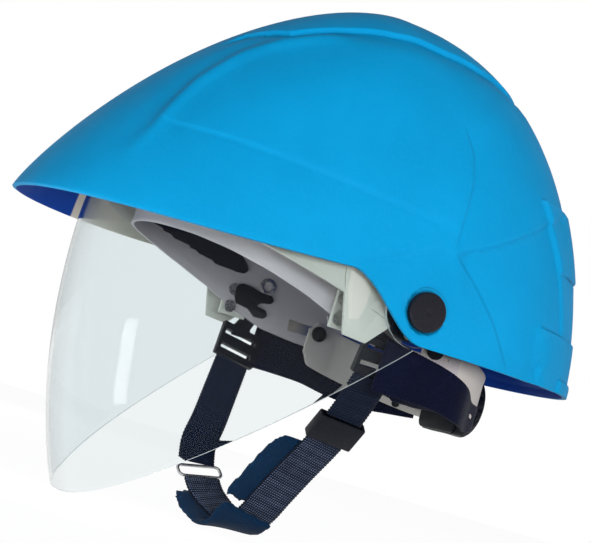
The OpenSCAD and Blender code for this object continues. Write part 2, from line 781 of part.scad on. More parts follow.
// One rivet fastens each leg to its arm, square to the arm's face.
leg_rivet_turn = 58;
leg_rivet_at = nape_at(leg_rivet_turn, leg_off);
leg_rivet_out = unit(nape_at(leg_rivet_turn, 0) - nape_at(leg_rivet_turn, 4));
module leg_rivet_rod(inward, outward, d) {
    translate([leg_rivet_at[0], leg_rivet_at[1], leg_nape_z])
        rotate([0, 0, atan2(leg_rivet_out[1], leg_rivet_out[0])]) rod_x(-inward, outward, d);
}
module leg_rivet_holes() {
    leg_rivet_rod(6, 4, rivet_d + 2 * pin_fit);
}
leg_rivet_in = webbing_t / 2 + 2 * seat_gap + band_t;
module leg_rivets() {
    color(steel) for (s = [0, 1]) mirror([s, 0, 0]) {
        leg_rivet_rod(leg_rivet_in, webbing_t / 2, rivet_d);
        leg_rivet_rod(-webbing_t / 2 - 0.05, webbing_t / 2 + 0.05 + rivet_head_t, rivet_head_d);
        leg_rivet_rod(0, webbing_t / 2 + 0.1, rivet_d);
    }
}

// The side brackets carry the pivots and are riveted to the headband.
foot = [[-14, -27], [-14, -8], [-8, -2], [2, -2], [2, -27]];
web_y0 = -6;
web_t = 4;
web_z = [-22, -2];
module side_bracket() {
    color(frame_white) difference() {
        union() {
            along_x(foot_in_x, foot_in_x + foot_t) polygon(foot);
            translate([foot_in_x, web_y0, web_z[0]])
                cube([boss_out_x - foot_in_x, web_t, web_z[1] - web_z[0]]);
            translate([bracket_in_x, web_y0, pivot_z - boss_r])
                cube([bracket_t, pivot_y - web_y0, 2 * boss_r]);
            at_pivot() rod_x(bracket_in_x, boss_out_x, 2 * boss_r);
        }
        pivot_bore();
        bracket_rivet_holes();
    }
}
module side_bracket_l() { side_bracket(); }
module side_bracket_r() { on_right() side_bracket(); }
bracket_rivet_places = [[-10, -12], [-10, -22]];
band_bulge = 0.7;
rivet_in_x = band_half_w - band_t - band_bulge;
module bracket_rivet_holes() {
    for (p = bracket_rivet_places) translate([0, p[0], p[1]])
        rod_x(-foot_in_x - foot_t - 5, foot_in_x + foot_t + 5, rivet_d + 2 * pin_fit);
}
module bracket_rivets() {
    color(steel) for (p = bracket_rivet_places, s = [0, 1]) mirror([s, 0, 0]) translate([0, p[0], p[1]]) {
        rod_x(rivet_in_x - rivet_head_t, foot_in_x + foot_t, rivet_d);
        rod_x(foot_in_x + foot_t, foot_in_x + foot_t + rivet_head_t, rivet_head_d);
        rod_x(rivet_in_x - rivet_head_t, rivet_in_x, rivet_head_d);
    }
}

// The strap hooks, each with the cross pin that its strap swings on.
hook = [
    [3, -27], [3, -3], [6, 1], [18, 1], [20, -1], [20, -7], [15, -8], [14, -11],
    [20, -11.5], [22, -13.5], [22, -17], [20, -19], [13, -19], [13, -27]
];
hook_x0 = band_half_w + seat_gap;
hook_t = 3;
swing_y = 9;
swing_z = -21;
swing_d = 3;
module strap_hook() {
    color(trim_black) difference() {
        union() {
            along_x(hook_x0, hook_x0 + hook_t) polygon(hook);
            translate([0, swing_y, swing_z]) {
                rod_x(hook_x0, hook_x0 + hook_t + 4.4, swing_d);
                rod_x(hook_x0 + hook_t + 3.4, hook_x0 + hook_t + 4.4, swing_d + 2.4);
            }
        }
        hook_rivet_holes();
    }
}
module strap_hook_l() { strap_hook(); }
module strap_hook_r() { on_right() strap_hook(); }
module hook_rivet_holes() {
    translate([0, eyelet_at[0], eyelet_at[1]])
        rod_x(-hook_x0 - hook_t - 5, hook_x0 + hook_t + 5, eyelet_tube_d + 2 * pin_fit);
}
// The metal eyelet that fastens each hook to the headband, open right through.
eyelet_at = [9.5, -5];
eyelet_tube_d = 7;
eyelet_flange_d = 10;
eyelet_in_x = band_half_w - band_t - rivet_head_t - 0.4;
eyelet_out_x = hook_x0 + hook_t + rivet_head_t;
module hook_eyelet() {
    color(steel) translate([0, eyelet_at[0], eyelet_at[1]]) difference() {
        union() {
            rod_x(eyelet_in_x, eyelet_out_x, eyelet_tube_d);
            rod_x(eyelet_out_x - rivet_head_t, eyelet_out_x, eyelet_flange_d);
            rod_x(eyelet_in_x, eyelet_in_x + rivet_head_t, eyelet_flange_d);
        }
        rod_x(eyelet_in_x - 1, eyelet_out_x + 1, eyelet_bore_d);
    }
}
module hook_eyelet_l() { hook_eyelet(); }
module hook_eyelet_r() { on_right() hook_eyelet(); }

// The ladder locks hang on the hooks' pins; a lock is centred on its strap's first straight run.
lock_x0 = hook_x0 + hook_t + seat_gap;
ear_t = 2.8;
lock_w = 25;
lock_l = 20;
lock_t = 4;
lock_slot = 3.2;
lock_near = [band_half_w + 3.2, 18, -34.5];
lock_far = [-band_half_w - 3.6, 4, -42];
near_run = [-12, 0, -38];
far_run = [13, -7, -44];
module lock_frame(c, run) {
    aimed(c, [1, 0, 0] - run * (run[0] / (run * run)), run) difference() {
        translate([-lock_l / 2, -lock_w / 2, -lock_t / 2]) cube([lock_l, lock_w, lock_t]);
        for (k = [-1, 1]) translate([k * 4.5 - lock_slot / 2, -webbing_w / 2 - 0.5, -lock_t])
            cube([lock_slot, webbing_w + 1, 2 * lock_t]);
    }
}
module lock_ear(x0, foot_y, foot_z) {
    difference() {
        union() {
            translate([0, swing_y, swing_z]) rod_x(x0, x0 + ear_t, 8);
            along_x(x0, x0 + ear_t) polygon([
                [swing_y - 4, swing_z], [swing_y, swing_z + 4], [swing_y + 4, swing_z],
                [foot_y + 5, foot_z + 1], [foot_y + 5, foot_z - 5],
                [foot_y - 5, foot_z - 5], [foot_y - 5, foot_z + 1]
            ]);
        }
        translate([0, swing_y, swing_z]) rod_x(x0 - 1, x0 + ear_t + 1, swing_d + 2 * pin_fit);
    }
}
module strap_lock_l() {
    color(trim_black) {
        lock_frame(lock_near, near_run);
        lock_ear(lock_x0, lock_near[1], lock_near[2] + 9);
    }
}
module strap_lock_r() {
    color(trim_black) {
        lock_frame(lock_far, far_run);
        on_right() lock_ear(lock_x0, lock_far[1], lock_far[2] + 10);
    }
}

// Routes of the webbing, by hand: the near side runs down and under the chin to the wire loop.
function lock_end(c, run) = c + unit(run) * (lock_l / 2 + 0.5);
chin_route = [
    lock_end(lock_near, near_run),
    [65, 18, -61], [54, 17, -75], [44, 15, -87], [32, 12, -101], [20, 9, -116],
    [10, 7, -128], [1, 5, -135], [-9, 2, -136], [-20, -3, -132], [-31, -8, -126], [-40, -9.5, -120]
];
side_route = [
    lock_end(lock_far, far_run),
    [-73, -1, -70], [-67, -5, -88], [-60.5, -9.5, -101.5], [-51.5, -11, -112.5]
];
route_steps = 3;
chin_path = spline(chin_route, route_steps);
side_path = spline(side_route, 4);
module chin_webbing() {
    color(soft_navy) strap(chin_path, [[0, 1, 0], [0.25, 1, 0]], [webbing_w, webbing_w], webbing_t);
}
module side_webbing() {
    color(soft_navy) strap(side_path, [[0, 1, 0], [0.25, 1, 0]], [webbing_w, webbing_w], webbing_t);
}
slider_at = 2 * route_steps;
slider_l = 16;
slider_t = 6;
slider_play = 0.5;
module strap_slider() {
    p = chin_path[slider_at];
    d = tangent(chin_path, slider_at);
    color(trim_black) aimed(p, cross([0, 1, 0], d), d) difference() {
        cube([slider_l, lock_w + 2, slider_t], center = true);
        cube([slider_l + 2, webbing_w + 2 * slider_play, webbing_t + 2 * slider_play], center = true);
    }
}
chin_pad_t = 4;
pad_from = 3 * route_steps;
pad_ahead = 6;
pad_gap = 0.5;
pad_over = chin_pad_t / 2 + webbing_t / 2 + pad_gap;
// The pad lies on the webbing's upper face, shifted ahead across it.
module chin_pad() {
    last = len(chin_path) - 1;
    color(soft_navy) loft([for (i = [pad_from:last])
        let (d = tangent(chin_path, i), w = [0.25 * i / last, 1, 0], up = unit(cross(w, d)),
            ahead = cross(up, d), mid = chin_path[i] + up * pad_over + ahead * pad_ahead,
            end = i == last || i == pad_from)
        lens_ring(mid, d, w, chin_pad_w * (end ? 0.7 : 1), chin_pad_t, 12)]);
}
// The wire loop spans the gap between the two ends of webbing.
wire_d = 1.8;
loop_w = webbing_w + 5;
loop_run = chin_route[len(chin_route) - 1] - side_route[len(side_route) - 1];
loop_shift = 0.9;
loop_play = 3;
loop_c = side_route[len(side_route) - 1] + loop_run / 2 + unit(loop_run) * loop_shift;
loop_l = norm(loop_run) - wire_d - loop_play;
wire_bend_r = 3;
// A ring of the wire's section at turn a of the bend whose centre is c.
function wire_ring(c, a) = [
    for (b = [0:30:330])
        let (r = wire_bend_r + wire_d / 2 * cos(b))
        [c[0] + r * cos(a), c[1] + r * sin(a), wire_d / 2 * sin(b)]
];
module wire_loop() {
    x = loop_l / 2 - wire_bend_r;
    y = loop_w / 2 - wire_bend_r;
    centres = [[x, y], [-x, y], [-x, -y], [x, -y]];
    color(steel) aimed(loop_c, cross([0.25, 1, 0], loop_run), loop_run)
        hoop([for (k = [0:3], a = [0:22.5:90]) wire_ring(centres[k], 90 * k + a)]);
}

// The cradle: three straps over the crown, each with its ends on the headband's outer face.
crown_gap = 31;
apex_z = crown_h - crown_gap;
cradle_t = 1.2;
cradle_n = 2.3;
strap_hang = 9;
cradle_step = cradle_t + 1.8;
front_a = 38;
cross_a = 74.5;
rear_strap_y = 57;
function band_spot(a) =
    let (p = brow_at(a, -seat_gap - cradle_t / 2 - 0.1)) [p[0], p[1], lookup(p[1], band_low) + band_h];
rear_spot = [band_half_w + seat_gap + cradle_t / 2, rear_strap_y, lookup(rear_strap_y, band_low) + band_h];
function over(a, b, top) = [
    for (t = [0:7.5:180])
        let (c = cos(t), k = sign(c) * pow(abs(c), 2 / cradle_n), s = dome_pow(sin(t), 2 / cradle_n),
            q = (a + b) / 2 + (a - b) / 2 * k)
        [q[0], q[1], mix(q[2], top, s)]
];
function strap_line(a, b, top) =
    concat([a - [0, 0, strap_hang]], over(a, b, top), [b - [0, 0, strap_hang]]);
// A strap's width stays level and square to the line between its ends, turning to the band at each end.
module cradle_strap(a, b, top, turn_a, turn_b) {
    path = strap_line(a, b, top);
    n = len(path) - 1;
    flat = unit(cross([0, 0, 1], b - a));
    from = turn_a * flat < 0 ? -turn_a : turn_a;
    to = turn_b * flat < 0 ? -turn_b : turn_b;
    color(soft_navy) difference() {
        loft([for (i = [0:n]) let (k = i / n,
                w = k < 0.3 ? mix(from, flat, ramp(k / 0.3)) : mix(flat, to, ramp((k - 0.7) / 0.3)))
            strap_ring(path[i], tangent(path, i), w, cradle_w, cradle_t)]);
        stud_rod(a, turn_a, 5, 5, stud_hole_d);
        stud_rod(b, turn_b, 5, 5, stud_hole_d);
    }
}
function level_side(a) =
    let (p = brow_at(a + 1, 0), q = brow_at(a - 1, 0)) unit([p[0] - q[0], p[1] - q[1], 0]);
front_spot = band_spot(front_a);
cross_spot = band_spot(cross_a);
// Where the straps are fastened on the left: the spot, and the level direction along the band there.
strap_spots = [
    [front_spot, level_side(front_a)], [cross_spot, level_side(cross_a)], [rear_spot, [0, 1, 0]]
];
module cradle_strap_l() {
    cradle_strap(front_spot, flip_x(rear_spot), apex_z, strap_spots[0][1], [0, 1, 0]);
}
module cradle_strap_r() {
    on_right()
        cradle_strap(front_spot, flip_x(rear_spot), apex_z + cradle_step, strap_spots[0][1], [0, 1, 0]);
}
module cradle_strap_cross() {
    cradle_strap(cross_spot, flip_x(cross_spot), apex_z + 2 * cradle_step,
        strap_spots[1][1], flip_x(strap_spots[1][1]));
}
stud_hole_d = 3.1;
cradle_stud_d = stud_hole_d - 2 * pin_fit;
stud_down = 5.5;
clip_w = cradle_w + 5;
clip_h = 8;
clip_t = 1.8;
clip_in = cradle_t / 2 + 0.3;
function out_of(spot, side) = let (n = unit(cross([0, 0, 1], side))) n * spot > 0 ? n : -n;
// A rod square to the band at a spot, from so far inside the strap's middle to so far outside it.
module stud_rod(spot, side, inward, outward, d) {
    out = out_of(spot, side);
    aimed(spot - [0, 0, stud_down] - out * inward, out, side) cylinder(d = d, h = inward + outward);
}
stud_in = cradle_t / 2 + seat_gap + band_t;
module cradle_stud_holes() {
    for (s = [0, 1], k = strap_spots) mirror([s, 0, 0])
        stud_rod(k[0], k[1], stud_in + 2, stud_in, stud_hole_d);
}
module cradle_studs() {
    color(trim_black) for (s = [0, 1], k = strap_spots) mirror([s, 0, 0]) {
        stud_rod(k[0], k[1], stud_in, clip_in + clip_t, cradle_stud_d);
        stud_rod(k[0], k[1], -clip_in - clip_t, clip_in + clip_t + 1, 6);
    }
}
module cradle_clips() {
    color(trim_black) for (s = [0, 1], k = strap_spots) mirror([s, 0, 0]) difference() {
        aimed(k[0] - [0, 0, stud_down], out_of(k[0], k[1]), k[1])
            translate([-clip_w / 2, -clip_h / 2, clip_in]) cube([clip_w, clip_h, clip_t]);
        stud_rod(k[0], k[1], 1, clip_in + clip_t + 1, stud_hole_d);
    }
}
// The pad under the crossing of the straps, dished to lie along them.
crown_r = 34;
crown_t = 7;
crown_y = -10;
crown_reach = 62;
crown_rise = apex_z - band_h;
function crown_drop(r) = crown_rise * (1 - pow(1 - pow(r / crown_reach, cradle_n), 1 / cradle_n));
crown_radii = [for (r = [0:4:crown_r - 2]) r];
module crown_pad() {
    top = apex_z - cradle_t / 2 - 0.4;
    color(soft_navy) translate([0, crown_y, 0]) rotate_extrude() polygon(concat(
        [for (r = crown_radii) [r, top - crown_drop(r) - 0.02 * r]],
        [[crown_r, top - crown_drop(crown_r) - crown_t / 2]],
        [for (i = [len(crown_radii) - 1:-1:0]) [crown_radii[i], top - crown_drop(crown_radii[i]) - crown_t]]
    ));
}

outer_shell();
visor();
visor_frame();
frame_rivets();
pivot_cap_l();
pivot_cap_r();
pivot_pin_l();
pivot_pin_r();
outer_washer_l();
outer_washer_r();
inner_washer_l();
inner_washer_r();
pivot_nut_l();
pivot_nut_r();
side_bracket_l();
side_bracket_r();
bracket_rivets();
headband();
sweatband();
rear_arm_l();
rear_arm_r();
guide_stud_l();
guide_stud_r();
ratchet_housing();
ratchet_cover();
ratchet_knob();
ratchet_pinion();
nape_pad();
nape_leg_l();
nape_leg_r();
leg_rivets();
strap_hook_l();
strap_hook_r();
hook_eyelet_l();
hook_eyelet_r();
strap_lock_l();
strap_lock_r();
chin_webbing();
side_webbing();
strap_slider();
chin_pad();
wire_loop();
cradle_strap_l();
cradle_strap_r();
cradle_strap_cross();
crown_pad();
cradle_clips();
cradle_studs();
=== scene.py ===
"""Arc flash helmet with a face shield: its looks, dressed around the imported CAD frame.

Each sub-assembly is a class that holds its sizes, builds its own meshes and dresses them.
Sizes are in millimetres until a mesh is settled, when they become metres. X points to the
wearer's left, Y to the rear and Z up, as in the frame.
"""

import json
import logging
import math
import sys
from dataclasses import dataclass
from enum import Enum
from functools import lru_cache
from typing import Any, Callable, Iterable, Optional, Sequence

import bmesh
import bpy
from mathutils import Matrix, Vector

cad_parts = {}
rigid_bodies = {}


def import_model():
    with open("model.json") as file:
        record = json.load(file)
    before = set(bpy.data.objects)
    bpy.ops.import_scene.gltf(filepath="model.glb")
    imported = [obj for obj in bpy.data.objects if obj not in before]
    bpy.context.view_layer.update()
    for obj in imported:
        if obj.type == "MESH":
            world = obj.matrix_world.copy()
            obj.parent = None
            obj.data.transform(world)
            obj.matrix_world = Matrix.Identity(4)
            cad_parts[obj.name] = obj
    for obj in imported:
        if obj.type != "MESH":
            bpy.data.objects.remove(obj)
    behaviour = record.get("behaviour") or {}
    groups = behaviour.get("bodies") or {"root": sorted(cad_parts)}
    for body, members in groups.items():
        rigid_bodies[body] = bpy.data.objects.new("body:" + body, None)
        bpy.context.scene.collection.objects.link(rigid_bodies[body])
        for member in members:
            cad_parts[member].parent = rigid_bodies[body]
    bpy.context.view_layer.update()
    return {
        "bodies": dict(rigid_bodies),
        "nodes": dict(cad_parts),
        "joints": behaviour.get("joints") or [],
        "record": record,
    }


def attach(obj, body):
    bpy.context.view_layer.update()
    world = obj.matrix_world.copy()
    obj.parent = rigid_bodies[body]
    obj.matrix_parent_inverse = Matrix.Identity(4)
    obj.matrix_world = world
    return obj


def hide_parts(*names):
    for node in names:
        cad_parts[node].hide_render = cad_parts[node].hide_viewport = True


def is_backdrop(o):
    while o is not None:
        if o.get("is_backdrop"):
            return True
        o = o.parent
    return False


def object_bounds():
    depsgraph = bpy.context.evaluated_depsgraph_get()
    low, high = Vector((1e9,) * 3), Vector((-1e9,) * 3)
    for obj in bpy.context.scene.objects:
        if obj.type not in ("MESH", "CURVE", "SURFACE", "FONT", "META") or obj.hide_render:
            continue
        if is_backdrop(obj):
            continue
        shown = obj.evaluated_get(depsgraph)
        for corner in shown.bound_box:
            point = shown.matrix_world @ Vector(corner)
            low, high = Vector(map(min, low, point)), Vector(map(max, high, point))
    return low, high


LOG = logging.getLogger("helmet")
MM = 0.001
Pair = tuple[float, float]
Triple = tuple[float, float, float]
Table = tuple[Pair, ...]
Surface = Callable[[float, float], Vector]


class Body(Enum):
    """The frame's bodies."""

    HELMET = "helmet"
    VISOR = "visor_unit"
    NAPE = "nape_unit"
    KNOB = "knob_unit"
    CHIN = "chin_unit"


class Slot(Enum):
    """The record's material slots."""

    SHELL = "shell_blue"
    VISOR = "clear_visor"
    WHITE = "white_plastic"
    STEEL = "steel"
    GREY = "grey_plastic"
    BLACK = "black_plastic"
    FABRIC = "navy_fabric"


# ---------------------------------------------------------------- measures


def mix(a: float, b: float, t: float) -> float:
    """The value a share t of the way from a to b."""
    return a + (b - a) * t


def ramp(t: float) -> float:
    """A smooth rise from 0 to 1 as t goes from 0 to 1."""
    u = max(0.0, min(1.0, t))
    return u * u * (3 - 2 * u)


def lift(value: float, exponent: float) -> float:
    """A power of a value, nothing below zero."""
    return max(value, 0.0) ** exponent


def signed(value: float, exponent: float) -> float:
    """A power of a value's size, with its sign kept."""
    return math.copysign(abs(value) ** exponent, value)


def lookup(x: float, table: Table) -> float:
    """The value at x in a table of rising places, straight between them.

    Args:
        x: the place.
        table: pairs of place and value.

    Returns:
        The value, held at the table's ends.
    """
    if x <= table[0][0]:
        return table[0][1]
    for (x0, y0), (x1, y1) in zip(table, table[1:]):
        if x <= x1:
            return mix(y0, y1, (x - x0) / (x1 - x0))
    return table[-1][1]


def line_distance(line: Sequence[Pair], y: float, z: float) -> tuple[float, float]:
    """How far a side-view point lies from a line of points.

    Args:
        line: the line's points.
        y: the point's first coordinate.
        z: its second coordinate.

    Returns:
        The distance, positive to the left of the line's run, and how far the nearest place is
        from the line's nearer end.
    """
    best, along, run = (1e9, 1.0), 0.0, 0.0
    for (y0, z0), (y1, z1) in zip(line, line[1:]):
        dy, dz = y1 - y0, z1 - z0
        length = math.hypot(dy, dz)
        t = max(0.0, min(1.0, ((y - y0) * dy + (z - z0) * dz) / length**2))
        gap = math.hypot(y - y0 - dy * t, z - z0 - dz * t)
        if gap < best[0]:
            side = 1.0 if dy * (z - z0) - dz * (y - y0) >= 0 else -1.0
            best, along = (gap, side), run + length * t
        run += length
    return best[0] * best[1], min(along, run - along)


class Route:
    """A smooth curve through given points, measured along its length."""

    def __init__(self, points: Sequence[Sequence[float]], fineness: int = 24) -> None:
        """Fits the curve.

        Args:
            points: what it passes through, in millimetres.
            fineness: how many steps a span is measured in.
        """
        p = [Vector(q) for q in points]
        self.places: list[Vector] = []
        for i in range(len(p) - 1):
            a, b, c, d = p[max(i - 1, 0)], p[i], p[i + 1], p[min(i + 2, len(p) - 1)]
            for k in range(fineness):
                t = k / fineness
                square = (2 * a - 5 * b + 4 * c - d) * t * t
                cube = (3 * b - 3 * c + d - a) * t**3
                self.places.append(0.5 * (2 * b + (c - a) * t + square + cube))
        self.places.append(p[-1])
        self.marks = [0.0]
        for q, r in zip(self.places, self.places[1:]):
            self.marks.append(self.marks[-1] + (r - q).length)

    @property
    def length(self) -> float:
        """The curve's length."""
        return self.marks[-1]

    def at(self, s: float) -> Vector:
        """Finds a point on the curve.

        Args:
            s: the length, in millimetres.

        Returns:
            The point, held at the curve's ends.
        """
        s = max(0.0, min(self.length, s))
        low, high = 0, len(self.marks) - 1
        while high - low > 1:
            middle = (low + high) // 2
            low, high = (middle, high) if self.marks[middle] <= s else (low, middle)
        share = (s - self.marks[low]) / max(self.marks[high] - self.marks[low], 1e-9)
        return self.places[low].lerp(self.places[high], share)

    def along(self, s: float, reach: float = 2.0) -> Vector:
        """The direction of travel a length s along the curve."""
        return (self.at(s + reach) - self.at(s - reach)).normalized()


# ---------------------------------------------------------------- meshes


def resize(bm: bmesh.types.BMesh, factor: float) -> None:
    """Scales a mesh about the origin."""
    bmesh.ops.scale(bm, vec=(factor, factor, factor), verts=bm.verts)


def as_mesh(bm: bmesh.types.BMesh, name: str) -> bpy.types.Mesh:
    """Turns a bmesh into mesh data.

    Args:
        bm: the bmesh, which is freed.
        name: the data's name.

    Returns:
        The data.
    """
    mesh = bpy.data.meshes.new(name)
    bm.to_mesh(mesh)
    bm.free()
    return mesh


def linked(name: str, data: Any) -> bpy.types.Object:
    """Makes an object.

    Args:
        name: its name.
        data: its mesh, lamp or camera.

    Returns:
        The object, in the scene.
    """
    made = bpy.data.objects.new(name, data)
    bpy.context.scene.collection.objects.link(made)
    return made


def bent_grid(
    columns: int, rows: int, surface: Surface, scale: Pair = (1.0, 1.0)
) -> bmesh.types.BMesh:
    """A flat grid bent onto a surface.

    Args:
        columns: cells across.
        rows: cells up.
        surface: the point for two shares, each from 0 to 1.
        scale: the size of the UV map, in metres for a woven strap.

    Returns:
        The mesh, in millimetres.
    """
    bm = flat_grid(columns, rows, scale)
    bend(bm, surface)
    return bm


def flat_grid(columns: int, rows: int, scale: Pair = (1.0, 1.0)) -> bmesh.types.BMesh:
    """A flat grid with a UV map.

    Args:
        columns: cells across.
        rows: cells up.
        scale: the size of the UV map.

    Returns:
        The grid, from 0 to 1 each way.
    """
    bm = bmesh.new()
    bmesh.ops.create_grid(bm, x_segments=columns, y_segments=rows, size=0.5)
    bmesh.ops.translate(bm, verts=bm.verts, vec=(0.5, 0.5, 0.0))
    layer = bm.loops.layers.uv.new("UVMap")
    for face in bm.faces:
        for loop in face.loops:
            loop[layer].uv = (loop.vert.co.x * scale[0], loop.vert.co.y * scale[1])
    return bm


def bend(bm: bmesh.types.BMesh, surface: Surface) -> None:
    """Moves each vertex of a flat grid onto a surface."""
    for vert in bm.verts:
        vert.co = surface(vert.co.x, vert.co.y)


def closed_tube(around: int, along: int, surface: Surface) -> bmesh.types.BMesh:
    """A closed body: the grid's first and last columns meet, and its ends close to points.

    Args:
        around: cells round it.
        along: cells from end to end.
        surface: the point for a share round and a share along.

    Returns:
        The mesh, in millimetres.
    """
    bm = bent_grid(around, along, surface)
    bmesh.ops.remove_doubles(bm, verts=bm.verts, dist=0.01)
    bmesh.ops.recalc_face_normals(bm, faces=bm.faces)
    return bm


def side_plate(outline: Sequence[Pair], x0: float, x1: float, bevel: float) -> bmesh.types.BMesh:
    """A plate with a side-view outline and eased edges.

    Args:
        outline: its corners, as places along Y and Z.
        x0: its inner face.
        x1: its outer face.
        bevel: how far its edges are eased.

    Returns:
        The mesh, in millimetres.
    """
    bm = bmesh.new()
    face = bm.faces.new([bm.verts.new((x0, y, z)) for y, z in outline])
    grown = bmesh.ops.extrude_face_region(bm, geom=[face])
    raised = [g for g in grown["geom"] if isinstance(g, bmesh.types.BMVert)]
    bmesh.ops.translate(bm, verts=raised, vec=(x1 - x0, 0, 0))
    bmesh.ops.recalc_face_normals(bm, faces=bm.faces)
    bevel_edges(bm, bevel, 30)
    return bm


def bevel_edges(bm: bmesh.types.BMesh, width: float, angle: float, segments: int = 2) -> None:
    """Eases the edges that turn by more than an angle.

    Args:
        bm: the mesh.
        width: how far they are eased.
        angle: the least turn, in degrees.
        segments: steps across an eased edge.
    """
    least = math.radians(angle)
    sharp = [e for e in bm.edges if len(e.link_faces) == 2 and e.calc_face_angle(0) > least]
    if sharp and width:
        bmesh.ops.bevel(
            bm, geom=sharp, offset=width, offset_type="OFFSET", segments=segments, profile=0.5,
            affect="EDGES", clamp_overlap=True, material=-1,
        )


def turned(profile: Sequence[Pair], steps: int = 48) -> bmesh.types.BMesh:
    """A body turned about Z from a profile.

    Args:
        profile: radii and heights, from the axis out and round.
        steps: how many steps the turn takes.

    Returns:
        The mesh, in millimetres, with its poles closed.
    """
    bm = bmesh.new()
    verts = [bm.verts.new((r, 0, h)) for r, h in profile]
    edges = [bm.edges.new(pair) for pair in zip(verts, verts[1:])]
    bmesh.ops.spin(
        bm, geom=verts + edges, cent=(0, 0, 0), axis=(0, 0, 1), dvec=(0, 0, 0),
        angle=math.tau, steps=steps, use_merge=True,
    )
    bmesh.ops.remove_doubles(bm, verts=bm.verts, dist=0.01)
    bmesh.ops.recalc_face_normals(bm, faces=bm.faces)
    return bm


def stand(bm: bmesh.types.BMesh, at: Sequence[float], along: Sequence[float]) -> bmesh.types.BMesh:
    """Turns a mesh and moves it.

    Args:
        bm: the mesh.
        at: where its origin goes.
        along: where its Z points.

    Returns:
        The same mesh.
    """
    turn = Vector(along).to_track_quat("Z", "Y").to_matrix().to_4x4()
    bmesh.ops.transform(bm, matrix=Matrix.Translation(Vector(at)) @ turn, verts=bm.verts)
    return bm


def mirrored(bm: bmesh.types.BMesh) -> bmesh.types.BMesh:
    """The same piece on the wearer's other side.

    Args:
        bm: the piece, which stays.

    Returns:
        Its twin, with faces outwards.
    """
    twin = bm.copy()
    bmesh.ops.scale(twin, vec=(-1, 1, 1), verts=twin.verts)
    bmesh.ops.reverse_faces(twin, faces=twin.faces)
    return twin


def joined(meshes: Iterable[bmesh.types.BMesh]) -> bmesh.types.BMesh:
    """Several meshes as one.

    Args:
        meshes: the parts, which are freed.

    Returns:
        The whole.
    """
    whole = bmesh.new()
    for bm in meshes:
        part = as_mesh(bm, "part")
        whole.from_mesh(part)
        bpy.data.meshes.remove(part)
    return whole


def both_sides(bm: bmesh.types.BMesh) -> bmesh.types.BMesh:
    """A left piece and its twin on the right as one mesh."""
    return joined([mirrored(bm), bm])


@dataclass
class Piece:
    """How a finished mesh becomes a piece of the helmet."""

    name: str
    finish: "Finish"
    body: Body
    slot: Slot
    stands_for: tuple[str, ...] = ()
    wall: float = 0.0
    wall_side: float = -1.0
    rim: float = 0.0
    smooth: int = 0
    crease: float = 40.0
    padded: Optional[float] = None
    edge_finish: Optional["Finish"] = None
    inner_finish: Optional["Finish"] = None

    def settle(self, bm: bmesh.types.BMesh) -> bpy.types.Object:
        """Makes the object, dresses it and hands it to the frame.

        Args:
            bm: its mesh, in millimetres.

        Returns:
            The object, at the origin with its place in its mesh.
        """
        resize(bm, MM)
        for face in bm.faces:
            face.smooth = True
        for edge in bm.edges:
            if len(edge.link_faces) == 2:
                edge.smooth = edge.calc_face_angle(0) < math.radians(self.crease)
        mesh = as_mesh(bm, self.name)
        piece = linked(self.name, mesh)
        mesh.materials.append(dressed(self.finish))
        for other in (self.edge_finish, self.inner_finish):
            if other:
                mesh.materials.append(dressed(other))
        if self.wall:
            wall = piece.modifiers.new("wall", "SOLIDIFY")
            wall.thickness = self.wall * MM
            wall.offset = self.wall_side
            wall.use_even_offset = True
            wall.material_offset = 1 if self.inner_finish else 0
            wall.material_offset_rim = 1 if self.edge_finish else 0
        if self.rim:
            rim = piece.modifiers.new("rim", "BEVEL")
            rim.width = self.rim * MM
            rim.segments = 2
            rim.limit_method = "ANGLE"
            rim.angle_limit = math.radians(50)
        if self.smooth:
            soft = piece.modifiers.new("soft", "SUBSURF")
            soft.levels = soft.render_levels = self.smooth
        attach(piece, self.body.value)
        if self.stands_for:
            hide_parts(*self.stands_for)
        LOG.info("%s: %d faces on %s", self.name, len(mesh.polygons), self.body.value)
        return piece


def swollen(
    bm: bmesh.types.BMesh, voxel: float, most: float, pressure: float = 4.0, frames: int = 20
) -> bmesh.types.BMesh:
    """Fills a closed pad by cloth simulation, with a limit on how far any point moves.

    Args:
        bm: the pad's closed mesh, in millimetres.
        voxel: the size of its cells once remeshed.
        most: the furthest that a point may move.
        pressure: how hard the filling pushes.
        frames: how many frames it pushes for.

    Returns:
        The filled mesh, in millimetres.
    """
    scene = bpy.context.scene
    resize(bm, MM)
    pad = linked("filling", as_mesh(bm, "filling"))
    cells = pad.modifiers.new("cells", "REMESH")
    cells.mode = "VOXEL"
    cells.voxel_size = voxel * MM
    graph = bpy.context.evaluated_depsgraph_get()
    even = bpy.data.meshes.new_from_object(pad.evaluated_get(graph))
    pad.modifiers.clear()
    pad.data = even
    rest = [v.co.copy() for v in even.vertices]
    cloth = pad.modifiers.new("cloth", "CLOTH")
    cloth.settings.use_pressure = True
    cloth.settings.uniform_pressure_force = pressure
    cloth.settings.effector_weights.gravity = 0
    for number in range(1, frames + 1):
        scene.frame_set(number)
    graph = bpy.context.evaluated_depsgraph_get()
    shaped = [v.co.copy() for v in pad.evaluated_get(graph).data.vertices]
    pad.modifiers.clear()
    scene.frame_set(1)
    for vert, before, after in zip(even.vertices, rest, shaped):
        move = after - before
        if move.length > most * MM:
            move = move.normalized() * most * MM
        vert.co = before + move
    filled = bmesh.new()
    filled.from_mesh(even)
    bpy.data.objects.remove(pad)
    resize(filled, 1 / MM)
    return filled


# ---------------------------------------------------------------- finishes


